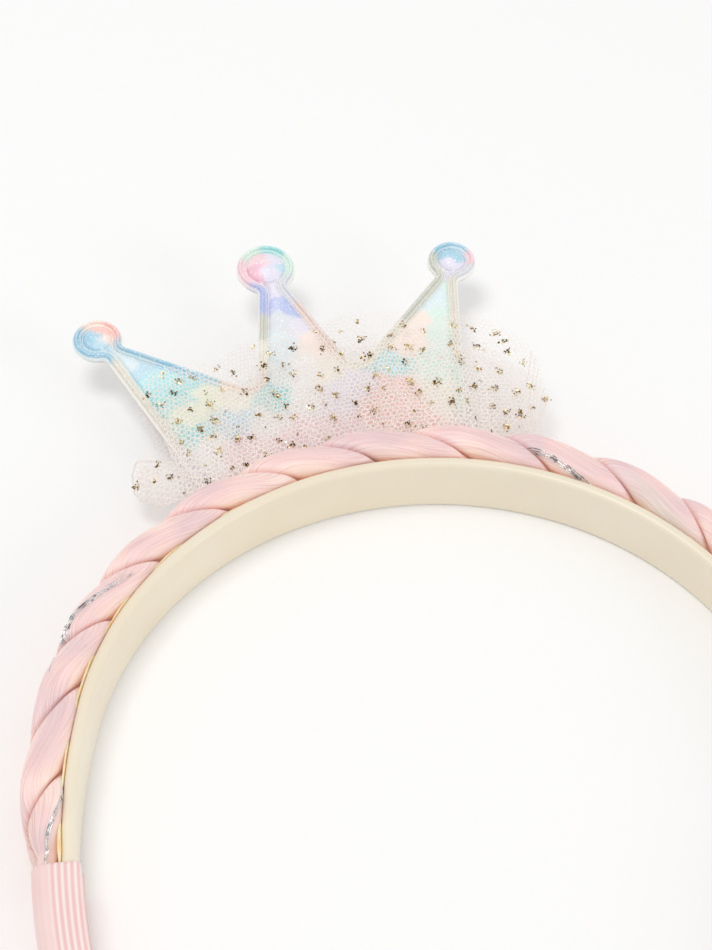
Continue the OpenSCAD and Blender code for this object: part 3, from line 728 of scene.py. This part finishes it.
def place_crown(p):
    """Crown points (across, up, out of its face) into the part's frame."""
    x, y, n = p.T
    y, z = turned(y, n, CROWN_TILT)
    x, y = turned(x, y, CROWN_LEAN)
    x, y = turned(x, y + CROWN_R, CROWN_AT)
    return np.stack([x, y + HOOP_Y, z + CROWN_Z], 1)


# Depth of the seam in from the outline, and the seam round each dome: across, up, radius
SEAM = 1.88
DOMES = ((-SIDE_OUT, SIDE_H, SIDE_R - SEAM), (0, MID_H, MID_R - SEAM),
         (SIDE_OUT, SIDE_H, SIDE_R - SEAM))


def crown_sheet(step, insets, spacing, hollow, rings=()):
    """Flat triangles inside the crown's outline: loops at the given insets, rings at the given
    distances from each dome's seam, a triangular grid of points deeper than hollow, and each
    point's distance from the outline."""
    edge, way = crown_outline(step)
    loops = [edge - d * way for d in insets]
    x, y = np.meshgrid(np.arange(edge[:, 0].min(), edge[:, 0].max(), spacing),
                       np.arange(edge[:, 1].min(), edge[:, 1].max(), spacing * 0.866))
    x = x + (np.arange(len(x)) % 2 * spacing / 2)[:, None]
    fill = np.stack([x.ravel(), y.ravel()], 1)
    a = np.linspace(0, 2 * np.pi, 80)[:-1]
    circle = np.stack([np.cos(a), np.sin(a)], 1)
    for cx, cy, r in DOMES if rings else ():
        off = np.abs(np.hypot(fill[:, 0] - cx, fill[:, 1] - cy) - r)
        fill = np.concatenate([fill[off > max(rings) + 0.15]]
                              + [(cx, cy) + (r + d) * circle for d in rings])
    # Inside where a ray to the right crosses the outline an odd number of times
    a = crown_outline(0.9)[0]
    b = np.roll(a, -1, 0)
    run, to = b - a, fill[:, None] - a
    hit = (a[:, 1] > fill[:, 1:]) != (b[:, 1] > fill[:, 1:])
    rise = np.where(run[:, 1] == 0, 1, run[:, 1])
    inside = (hit & (to[..., 0] < to[..., 1] * run[:, 0] / rise)).sum(1) % 2 == 1
    share = np.clip((to * run).sum(-1) / (run ** 2).sum(-1), 0, 1)
    far = np.linalg.norm(to - share[..., None] * run, axis=-1).min(1)
    keep = inside & (far > hollow)
    depth = np.append(np.repeat(insets, len(edge)), far[keep])
    ring = [(k, (k + 1) % len(edge)) for k in range(len(edge))]
    made = geometry.delaunay_2d_cdt(
        [Vector(p) for p in np.concatenate(loops + [fill[keep]])], ring, [], 1, 1e-5)
    flat, tris = np.array([tuple(v) for v in made[0]]), np.array(made[2])
    # Every triangle turned to face out of the crown
    (ax, ay), (bx, by) = ((flat[tris[:, k]] - flat[tris[:, 0]]).T for k in (1, 2))
    back = ax * by < ay * bx
    tris[back] = tris[back, ::-1]
    return flat, depth[[ids[0] for ids in made[3]]], tris


def closed_sheet(step, flat, depth, tris, height, base):
    """The sheet at its heights, closed by its outline again at base and a wall between them.
    Returns points in the part's frame, faces, and the outline's points in their order."""
    edge = np.nonzero(depth < depth.min() + 1e-6)[0]
    outline, way = crown_outline(step)
    far = np.linalg.norm(flat[edge][:, None] - (outline - depth.min() * way), axis=2)
    order = edge[np.argsort(far.argmin(1))]
    n, m = len(flat), len(order)
    k = np.arange(m)
    points = np.concatenate([np.c_[flat, height], np.c_[flat[order], np.full(m, base)]])
    wall = np.stack([order, n + k, n + (k + 1) % m, order[(k + 1) % m]], 1)
    return place_crown(points), [tris, wall, (n + k[::-1])[None]], order


# The film's relief: depth in from the outline, height above the felt. A thin lip, a welt, a
# pressed seam, a narrow second welt, another seam, then the padded panel.
RELIEF = np.array([
    [0.00, 0.30], [0.05, 0.50], [0.13, 0.66], [0.22, 0.72], [0.30, 0.88], [0.42, 1.18],
    [0.58, 1.40], [0.76, 1.48], [0.94, 1.38], [1.08, 1.10], [1.18, 0.80], [1.26, 0.66],
    [1.34, 0.74], [1.46, 0.92], [1.58, 0.94], [1.70, 0.80], [1.80, 0.58], [1.88, 0.54],
    [1.98, 0.68], [2.12, 0.90], [2.40, 1.14], [2.90, 1.32], [3.60, 1.44], [5.00, 1.54],
    [8.00, 1.66], [12.0, 1.72]])

# Print colours
PALETTE = {
    "blue": "AED4E6", "sky": "C6E2EF", "cyan": "B9E8EC", "teal": "AEE3E3", "mint": "DEF1E8",
    "lime": "EFF5DB", "cream": "F6F3E6", "peach": "FAE9DF", "coral": "F8CFC8", "pink": "F6D8DF",
    "rose": "F0C2D2", "lilac": "E7E3F1", "iris": "CAD0F0", "periwinkle": "BDC8ED",
    "grey": "E0E3E8", "white": "F4F5F4", "ice": "E0EDF1", "stone": "D6D7CD", "fawn": "ECDAD3",
    "shell": "E9E4D9",
}

# Patches of print: for each part of the crown, the palette colours and the places of their
# patches as (across, up). A point takes the nearest ones.
PRINT = {
    "rim": {
        "blue": ((-39.5, 37.5), (-36.5, 33), (-28.5, 33.5), (-22.5, 28.5), (34, 42)),
        "peach": ((-35, 42), (-12.5, 20.5)), "coral": ((-31, 40),),
        "sky": ((-17, 24.5), (38.5, 41)),
        "shell": ((-31.5, 29.5), (-28.5, 21), (-26, 12), (17.5, 23.5), (33.5, 30), (30.5, 20)),
        "lilac": ((-24, 5), (0, 0)), "cream": ((-8.5, 26), (12, 20)),
        "stone": ((-5.5, 32), (23.5, 28.5), (29.5, 33.5), (31, 38.5)), "periwinkle": ((-4, 38),),
        "pink": ((-5.6, 45.5), (40, 37), (18, 0)),
        "mint": ((-2.5, 51), (5.6, 45), (26.5, 8), (-15, 0)), "teal": ((3.5, 50.5),),
        "grey": ((3.8, 39.5), (38, 33.5)), "fawn": ((5.5, 33.5), (8, 26.5)),
    },
    "panel": {
        "blue": ((-36.5, 36.6), (34.8, 39), (37, 38)),
        "sky": ((-35.2, 35.4), (-28, 29), (-15.5, 11), (3.4, 44.6)),
        "coral": ((-33.7, 39.2), (15, 11), (10, 7), (17.5, 5)),
        "peach": ((-32.9, 37.6), (3.4, 25), (24, 23.5), (20.5, 19.5)),
        "ice": ((-31, 31.5), (-2.6, 26.5), (-5, 21.5), (30.2, 31), (28, 28.5)),
        "cyan": ((-25.5, 25), (-22, 23), (16.5, 16.5)),
        "teal": ((-24, 19.5), (-22.5, 11), (-7, 14.5)), "lime": ((-18.5, 19), (-22.5, 15.5)),
        "cream": ((-14, 16.5), (5, 18.5), (22, 7)),
        "white": ((-21.5, 6.5), (-9.5, 9.5), (0, 20), (-2, 13)),
        "pink": ((-16.5, 5), (-10, 4), (-2, 47), (-3, 5), (4, 3.5)), "rose": ((-2.6, 44.5),),
        "lilac": ((2.4, 46.8), (1, 43.2), (0.2, 38.8), (2.6, 30), (4.5, 11.5), (8, 13.5),
                  (34.5, 35.8), (36.4, 35.4)), "iris": ((-0.4, 36.2),),
        "periwinkle": ((1.4, 34.6),), "grey": ((-1.2, 31.4),),
        "mint": ((32.4, 30.4), (28.6, 24.5), (27.2, 20), (24, 14)),
    },
}


def print_colour(flat, part):
    """Mean of the palette colours of one part's patches, weighted by one over distance to a
    power, so that patches meet in soft borders, with the point moved by a slow wobble. The rim
    is narrow, so it wobbles less and blends further."""
    wander, power = (0.165, 5.0) if part == "rim" else (0.55, 7.0)
    rows = [(place, linear(PALETTE[name])[:3]) for name, places in PRINT[part].items()
            for place in places]
    at, colours = (np.array(k) for k in zip(*rows))
    x, y = flat.T
    wobble = wander * np.stack([np.sin(0.9 * y + 0.5 * x) + 0.5 * np.sin(2.3 * y),
                                np.sin(0.8 * x - 0.4 * y) + 0.5 * np.sin(2.1 * x + 1)], 1)
    d = np.linalg.norm((flat + wobble)[:, None] - at, axis=2)
    w = np.maximum(d, 0.3) ** -power
    return (w[:, :, None] * colours).sum(1) / w.sum(1, keepdims=True)


# Lines in the print: depth in from the outline, half width, strength. Pressing lightens the
# seams; the darker lines beside them, on the welts' flanks, are painted shade.
PALE_LINES = ((1.25, 0.08, 0.5), (SEAM, 0.09, 0.7))
PAINTED_SHADE_LINES = ((0.45, 0.12, 1.0), (1.06, 0.09, 1.0), (1.40, 0.06, 0.8), (1.72, 0.07, 1.0),
              (2.06, 0.09, 0.8))


def lines_at(depth, lines):
    """Strength of the lines at a depth: each a bell curve."""
    return sum(strong * np.exp(-((depth - at) / half) ** 2) for at, half, strong in lines)


def make_crown():
    """The film's height follows RELIEF with the depth in from the outline, so it is a rounded
    welt, a pressed seam and a padded panel. A flat floor closes it."""
    step, dome_h = 0.34, 0.55
    flat, depth, tris = crown_sheet(
        step, [d for d in RELIEF[:, 0] if d < 2.2], spacing=0.42, hollow=2.35,
        rings=(-0.5, -0.3, -0.16, -0.08, 0, 0.08, 0.16, 0.3, 0.5))
    # The seam runs on round each dome and closes it off from the panel
    dome = np.zeros(len(flat))
    for cx, cy, r in DOMES:
        far = np.hypot(flat[:, 0] - cx, flat[:, 1] - cy)
        depth = np.minimum(depth, SEAM + np.abs(far - r))
        dome += dome_h * np.clip(1 - (far / (r - 0.1)) ** 2, 0, 1)
    x, y = flat.T
    ripple = np.sin(1.1 * x + 0.6 * y) + np.sin(0.7 * x - 1.3 * y)
    height = (np.interp(depth, RELIEF[:, 0], RELIEF[:, 1]) + dome
              + 0.05 * smooth((depth - 2) / 2) * ripple)
    points, faces, order = closed_sheet(step, flat, depth, tris, FRONT_N + height, FRONT_N)
    tint = mix(print_colour(flat, "rim"), print_colour(flat, "panel"),
               smooth((depth - 1.8) / 0.12)[:, None])
    # The lip is pale too, and the second welt slightly so
    pale = (0.6 * smooth((0.3 - depth) / 0.12) + lines_at(depth, PALE_LINES)
            + 0.25 * np.exp(-((depth - 1.55) / 0.15) ** 4))
    tint = mix(tint, linear("FBF8F1")[:3], np.clip(pale, 0, 1)[:, None])
    # Painted shade: the colour darkens and deepens along the welts' flanks beside the seams.
    flank_shade = lines_at(depth, PAINTED_SHADE_LINES)[:, None]
    tint = tint ** (1 + 0.45 * np.clip(flank_shade, 0, 1)) * (1 - 0.09 * flank_shade)
    return solid("crown_film", points, faces, pearl_film(), "crown_front",
                 tint=np.concatenate([tint, tint[order]]))


def make_felt():
    """The felt is the same outline pulled in, its lower edge rounded and its face uneven."""
    step, edge_r, lumps = 1.0, 0.45, 0.05
    flat, depth, tris = crown_sheet(step, [FELT_INSET, 0.58, 0.72, 0.95, 1.3], spacing=1.1,
                                    hollow=1.9)
    deep = depth - FELT_INSET
    low = edge_r * (1 - np.sqrt(np.clip(1 - (1 - np.clip(deep / edge_r, 0, 1)) ** 2, 0, 1)))
    low += lumps * waves(flat[:, 0] * 2, 31) * waves(flat[:, 1] * 2, 32) * smooth(deep / 2)
    points, faces, _ = closed_sheet(step, flat, depth, tris, low, FELT_T)
    return solid("crown_felt", points, [f[:, ::-1] for f in faces], white_felt(),
                 "crown_backing")


# The net

# Angle from the top of the hoop, low edge and high edge as shares of NET_H, sag as a share of
# NET_WAVE
FRONT_NET = np.array([
    [-43.8, 0.28, 0.35, 1.9], [-42.4, 0.19, 0.45, 1.8], [-41.0, 0.14, 0.49, 1.5],
    [-39.0, 0.10, 0.41, 1.1], [-37.2, 0.06, 0.33, 0.7], [-36.2, 0.04, 0.56, 0.3],
    [-35.0, 0.02, 0.88, 0.0], [-31.3, 0.01, 0.87, 0.0], [-28.5, 0.01, 0.88, 0.0],
    [-25.5, 0.01, 0.80, 0.0], [-22.0, 0.01, 0.85, 0.0], [-18.8, 0.01, 0.91, 0.0],
    [-15.6, 0.01, 0.86, 0.0], [-12.3, 0.01, 0.89, 0.0], [-10.8, 0.01, 0.97, 0.0],
    [-6.0, 0.01, 0.89, 0.0], [-0.5, 0.01, 0.86, 0.0], [2.4, 0.01, 0.85, 0.1],
    [5.6, 0.01, 0.93, 0.4], [7.3, 0.01, 0.86, 0.5], [9.8, 0.02, 0.77, 0.7],
    [12.3, 0.03, 0.69, 0.9], [13.7, 0.05, 0.56, 1.0], [15.2, 0.15, 0.42, 1.2]])
BACK_NET = np.array([
    [-37.8, 0.02, 0.16, 0.4], [-37.0, 0.01, 0.60, 0.3], [-36.0, 0.01, 0.88, 0.2],
    [-31.0, 0.01, 0.82, 0.1], [-24.0, 0.01, 0.76, 0.1], [-15.0, 0.01, 0.82, 0.1],
    [-6.0, 0.01, 0.86, 0.1], [2.0, 0.01, 0.82, 0.1], [8.0, 0.01, 0.70, 0.1],
    [12.2, 0.02, 0.50, 0.1], [14.0, 0.05, 0.30, 0.1]])
NET_N = FRONT_N + RIM_H + 1.4 * SOFT_GAP
BACK_N = -2 * SOFT_GAP - 1.0

# Cloth: millimetres of net to a degree of the hoop, mesh pitch, thread width, degrees to a
# pleat, how proud the threads' middles are, and the cloth's own ripple: pitch and height
CLOTH_PER_DEG, CELL, THREAD, PLEAT_PITCH = 1.78, 0.98, 0.15, 2.9
PROUD, RIPPLE_PITCH, RIPPLE_H = 0.05, 5.2, 0.22

# Layers of the ruffle: high edge as a share of the outline's, lift in mm, turn of the cloth's
# meshes in degrees, first and last angle from the top of the hoop
FRONT_LAYERS = [
    (1.0, 0.9, 4, -50, 50), (0.78, 0.5, -17, -37, 50), (0.48, 0.18, 26, -37, 50),
    (0.96, 0.55, 31, -50, -35), (0.9, 0.2, -8, -50, -36)]
BACK_LAYERS = [(1.0, 0.75, 11, -50, 50), (0.6, 0.3, -22, -50, 50)]


# Columns of a net's table
LOW, HIGH, SAG = 1, 2, 3


def net_edge(table, angle, column):
    """One column of a net's table, in straight lines between its rows."""
    return np.interp(angle, table[:, 0], table[:, column])


def net_point(table, angle, share, lift):
    """Radial sheet: its radius grows with the share of NET_H, and its height is the crown's
    plane and a wave round the hoop that grows with the share, less its sag."""
    r = CROWN_R + NET_H * share
    sag = net_edge(table, angle, SAG) * NET_WAVE
    wave = NET_WAVE * np.minimum(1, 1.2 * share) * (
        1 + np.sin(2 * np.pi * angle / NET_WAVE_PITCH)) / 2
    front = table is FRONT_NET
    z = wave - sag if front else -sag * (1.2 - share) - 0.15 * wave
    z = z + CROWN_Z + (r - CROWN_R) * math.tan(CROWN_TILT)
    z = z + (NET_N if front else BACK_N) / math.cos(CROWN_TILT)
    a = np.radians(angle)
    return np.stack([r * np.sin(a), HOOP_Y + r * np.cos(a), z + lift], -1)


def cloth_to_angle(p, q, seed):
    """Angle for p mm along the cloth at q mm from the gather: even, and drawn into pleats that
    are deepest at the gather and wander as they rise."""
    base = p / CLOTH_PER_DEG
    pleat = np.sin(2 * np.pi * (base / PLEAT_PITCH + 0.05 * q) + seed) * 0.52
    fold = np.sin(2 * np.pi * base / NET_WAVE_PITCH + 0.03 * q + seed) * 0.3
    return base + pleat * np.exp(-q / 9) + fold


def net_layer(table, seed, top, lift, turn, first, last):
    """Hexagonal meshes on the cloth, each a ring between its outer and its inner hexagon. The
    outer corners lie on the threads' middles and are a little proud. A mesh is kept where it lies
    between the low and the high edge."""
    a0, a1 = max(table[0, 0], first), min(table[-1, 0], last)
    middle = (CLOTH_PER_DEG * (a0 + a1) / 2, NET_H / 2)
    half = CLOTH_PER_DEG * (a1 - a0) / 2 + 4
    row = CELL * 0.866

    def on_cloth(flat):
        """Points of the mesh pattern turned and moved onto the strip of cloth."""
        x, y = turned(flat[:, 0], flat[:, 1], math.radians(turn))
        return x + middle[0], y + middle[1]

    n = math.ceil(math.hypot(half, NET_H) / row)
    i, j = (k.ravel() for k in np.meshgrid(np.arange(-n, n + 1), np.arange(-n, n + 1)))
    centre = np.stack([(i + 0.5 * (j % 2)) * CELL, j * row], 1)
    p, q = on_cloth(centre)
    angle = cloth_to_angle(p, q, seed)
    low, high = (net_edge(table, angle, column) * NET_H for column in (LOW, HIGH))
    high = high * top + (1 - top) * 3 * np.sin(angle * 0.9 + seed)
    centre = centre[(angle > a0) & (angle < a1) & (q > low) & (q < high)]
    corner = np.radians(30 + 60 * np.arange(6))
    ring = np.stack([np.cos(corner), np.sin(corner)], 1) * CELL / math.sqrt(3)
    outer, inner = ((centre[:, None] + ring * size).reshape(-1, 2)
                    for size in (1, 1 - THREAD / CELL))
    # Neighbours share their outer corners
    _, one, back = np.unique(np.round(outer * 50).astype(int), axis=0, return_index=True,
                             return_inverse=True)
    n, m, after = len(one), len(centre), np.roll(np.arange(6), -1)
    out_id = back.reshape(m, 6)
    in_id = n + np.arange(m * 6).reshape(m, 6)
    quads = np.stack([out_id, out_id[:, after], in_id[:, after], in_id], -1).reshape(-1, 4)
    p, q = on_cloth(np.concatenate([outer[one], inner]))
    ripple = np.sin(2 * np.pi * (p / RIPPLE_PITCH + 0.04 * q) + seed) * np.exp(-q / 14)
    lift = lift + np.where(np.arange(len(p)) < n, PROUD, 0.0) + RIPPLE_H * ripple
    return net_point(table, cloth_to_angle(p, q, seed), q / NET_H, lift), quads


def net_folds():
    """Where the front net is folded over, its edge is a line of doubled threads: round the left
    tail, and in pleats up the right end."""
    out, back = np.linspace(-34.5, -43.7, 60), np.linspace(-43.7, -36.6, 50)
    share = np.append(net_edge(FRONT_NET, out, LOW), net_edge(FRONT_NET, back, HIGH))
    tail = net_point(FRONT_NET, np.append(out, back), share, 0.75)[None]
    rise = np.linspace(0.06, 0.97, 40)[None]
    at = np.array([11.6, 12.4, 13.1, 13.7, 14.3, 14.9])[:, None]
    share = mix(net_edge(FRONT_NET, at, LOW), net_edge(FRONT_NET, at, HIGH), rise)
    pleats = net_point(FRONT_NET, at + 0.25 * np.sin(4 * rise + at), share, 0.98)
    return [thread_tube(tail, 0.13, flat=0.6), thread_tube(pleats, 0.07, flat=0.6)]


def make_net(name, table, layers, stands_for, finish):
    """All the layers of one ruffle as one mesh, with the front one's doubled edges."""
    parts = [net_layer(table, 1.7 * k, *row) for k, row in enumerate(layers)]
    if table is FRONT_NET:
        parts += net_folds()
    starts = np.cumsum([0] + [len(points) for points, _ in parts[:-1]])
    faces = [quads + start for (_, quads), start in zip(parts, starts)]
    return solid(name, np.concatenate([points for points, _ in parts]), faces, finish,
                 stands_for)


# The largest clusters of flakes: angle from the top of the hoop, share of NET_H
FLECKS = np.array([
    [-25, 0.67], [-31.3, 0.75], [-35.1, 0.79], [-18, 0.57], [-18.4, 0.65], [-15.5, 0.4],
    [-13.7, 0.68], [-21.1, 0.45], [-20.3, 0.36], [-29.3, 0.55], [-30, 0.43], [-28.6, 0.25],
    [-32, 0.21], [-26.1, 0.06], [-29.6, 0.05], [-39.1, 0.27], [-41.7, 0.45], [-43.1, 0.37],
    [-16.6, 0.05], [-32.5, 0.39], [-8.8, 0.73], [-5.5, 0.63], [-3.2, 0.66], [-1.4, 0.64],
    [1.8, 0.64], [2.2, 0.78], [8.1, 0.75], [9, 0.67], [-12.5, 0.52], [-7.8, 0.44],
    [-3.4, 0.39], [5.4, 0.53], [8.2, 0.53], [5.1, 0.39], [7.8, 0.39], [12.5, 0.45],
    [7.9, 0.26], [11.8, 0.24], [-8.8, 0.2], [2.2, 0.24], [0.1, 0.38], [-4.1, 0.08],
    [-8.2, 0.59], [3.1, 0.54]])

# Millimetres to a degree at the middle of the net, the least distance between clusters, and
# half a flake's thickness
PER_DEG, APART, HALF_FLAKE = 1.45, 2.6, 0.03


def make_flecks(name, table, count, seed, finish):
    """Clusters of foil flakes on the top layer: each cluster is a handful of tiny tilted plates
    scattered round one point. The largest come first, at the places in FLECKS."""
    r = np.random.default_rng(seed)
    front = table is FRONT_NET
    first = FLECKS if front else FLECKS[:0]
    spare = count * 12
    angle = np.append(first[:, 0], r.uniform(table[0, 0] + 0.5, table[-1, 0] - 0.5, spare))
    share = np.append(first[:, 1], r.uniform(0.02, 1.0, spare))
    good = ((share > net_edge(table, angle, LOW) + 0.02)
            & (share < net_edge(table, angle, HIGH) - 0.02))
    kept = []
    for here in np.stack([angle[good] * PER_DEG, share[good] * NET_H], 1):
        if len(kept) < count and all(np.hypot(*(here - other)) > APART for other in kept):
            kept.append(here)
    kept = np.array(kept)
    sizes = r.choice([3, 7, 11, 15, 20], len(kept), p=[0.25, 0.25, 0.25, 0.15, 0.1])
    sizes[:len(first)] = r.integers(13, 26, len(first))
    which = np.repeat(np.arange(len(kept)), sizes)
    n = len(which)
    spread = 0.19 + 0.011 * sizes[which]
    at = kept[which] + r.normal(0, 1, (n, 2)) * spread[:, None]
    centre = net_point(table, at[:, 0] / PER_DEG, at[:, 1] / NET_H,
                       (1.02 if front else -0.25) + r.uniform(0, 0.12, n))
    turn = r.uniform(0, 2 * np.pi, n)
    tilt = r.normal(0, 0.35, (n, 2))
    w, h = r.uniform(0.07, 0.17, (2, n, 1))
    ex = np.stack([np.cos(turn), np.sin(turn), tilt[:, 0]], 1)
    ey = np.stack([-np.sin(turn), np.cos(turn), tilt[:, 1]], 1)
    ez = HALF_FLAKE * np.cross(ex, ey)
    points = np.stack([centre + a * w * ex + b * h * ey + c * ez for c in (-1, 1)
                       for a, b in ((-1, -1), (1, -1), (1, 1), (-1, 1))], 1)
    box = np.array([[0, 3, 2, 1], [4, 5, 6, 7], [0, 1, 5, 4], [1, 2, 6, 5], [2, 3, 7, 6],
                    [3, 0, 4, 7]])
    faces = (box + 8 * np.arange(n)[:, None, None]).reshape(-1, 4)
    return solid(name, points.reshape(-1, 3), [faces], finish, shade_smooth=False)


# The camera and light

def make_camera():
    """The photograph's view: from in front and above, 50 degrees over the floor."""
    target, far, rise = np.array([-0.0148, 0.0063, 0.0]), 0.4259, math.radians(50)
    place = target + far * np.array([0, -math.cos(rise), math.sin(rise)])
    data = bpy.data.cameras.new("photo_view")
    data.lens, data.sensor_width, data.sensor_fit = 87.16, 36.0, "AUTO"
    data.clip_start, data.clip_end = 0.01, 20
    bpy.context.scene.camera = add_object("photo_view", data, place, target)


def make_light(name, place, size, power, colour):
    """A round soft lamp that looks at the middle of the floor."""
    data = bpy.data.lights.new(name, "AREA")
    data.shape, data.size, data.energy = "DISK", size, power
    data.color = linear(colour)[:3]
    add_object(name, data, place, (0, 0, 0))


def make_studio():
    """A pale paper floor, a white surround, a soft box over the left and a fill at the right."""
    mesh = bpy.data.meshes.new("floor")
    mesh.from_pydata([(-4, -4, 0), (4, -4, 0), (4, 4, 0), (-4, 4, 0)], [], [(0, 1, 2, 3)])
    mesh.materials.append(finish(
        bpy.data.materials.new("white paper sweep"), Roughness=0.9, Base_Color=linear("F7F7F7"),
        Emission_Color=linear("FFFFFF"), Emission_Strength=0.05))
    add_object("floor", mesh)
    world = bpy.data.worlds.new("studio")
    bpy.context.scene.world = world
    world.use_nodes = True
    set_up(world.node_tree, world.node_tree.nodes["Background"], Color=linear("FFFFFF"),
           Strength=0.705)
    make_light("soft_box", (-0.25, 0.0, 1.0), size=0.45, power=2.8, colour="FFFEFC")
    make_light("side_fill", (0.85, -0.5, 0.4), size=0.5, power=1.5, colour="FFFFFF")
    bpy.context.scene.view_settings.view_transform = "Standard"


make_camera()
make_studio()
make_band()
make_glue()
hair = doll_hair()
for strand in (1, 2, 3):
    make_strand(strand, hair)
make_tinsel()
make_stray_hairs(loose_hair())
ribbon = grosgrain()
wraps = [make_wrap(side, ribbon) for side in (-1, 1)]
film, felt = make_crown(), make_felt()
tulle, foil = net_thread(), gold_foil()
front = make_net("tulle_ruffle_front", FRONT_NET, FRONT_LAYERS, "tulle_front", tulle)
back = make_net("tulle_ruffle_back", BACK_NET, BACK_LAYERS, "tulle_back", tulle)
front_flecks = make_flecks("gold_flecks_front", FRONT_NET, count=118, seed=5, finish=foil)
back_flecks = make_flecks("gold_flecks_back", BACK_NET, count=60, seed=6, finish=foil)
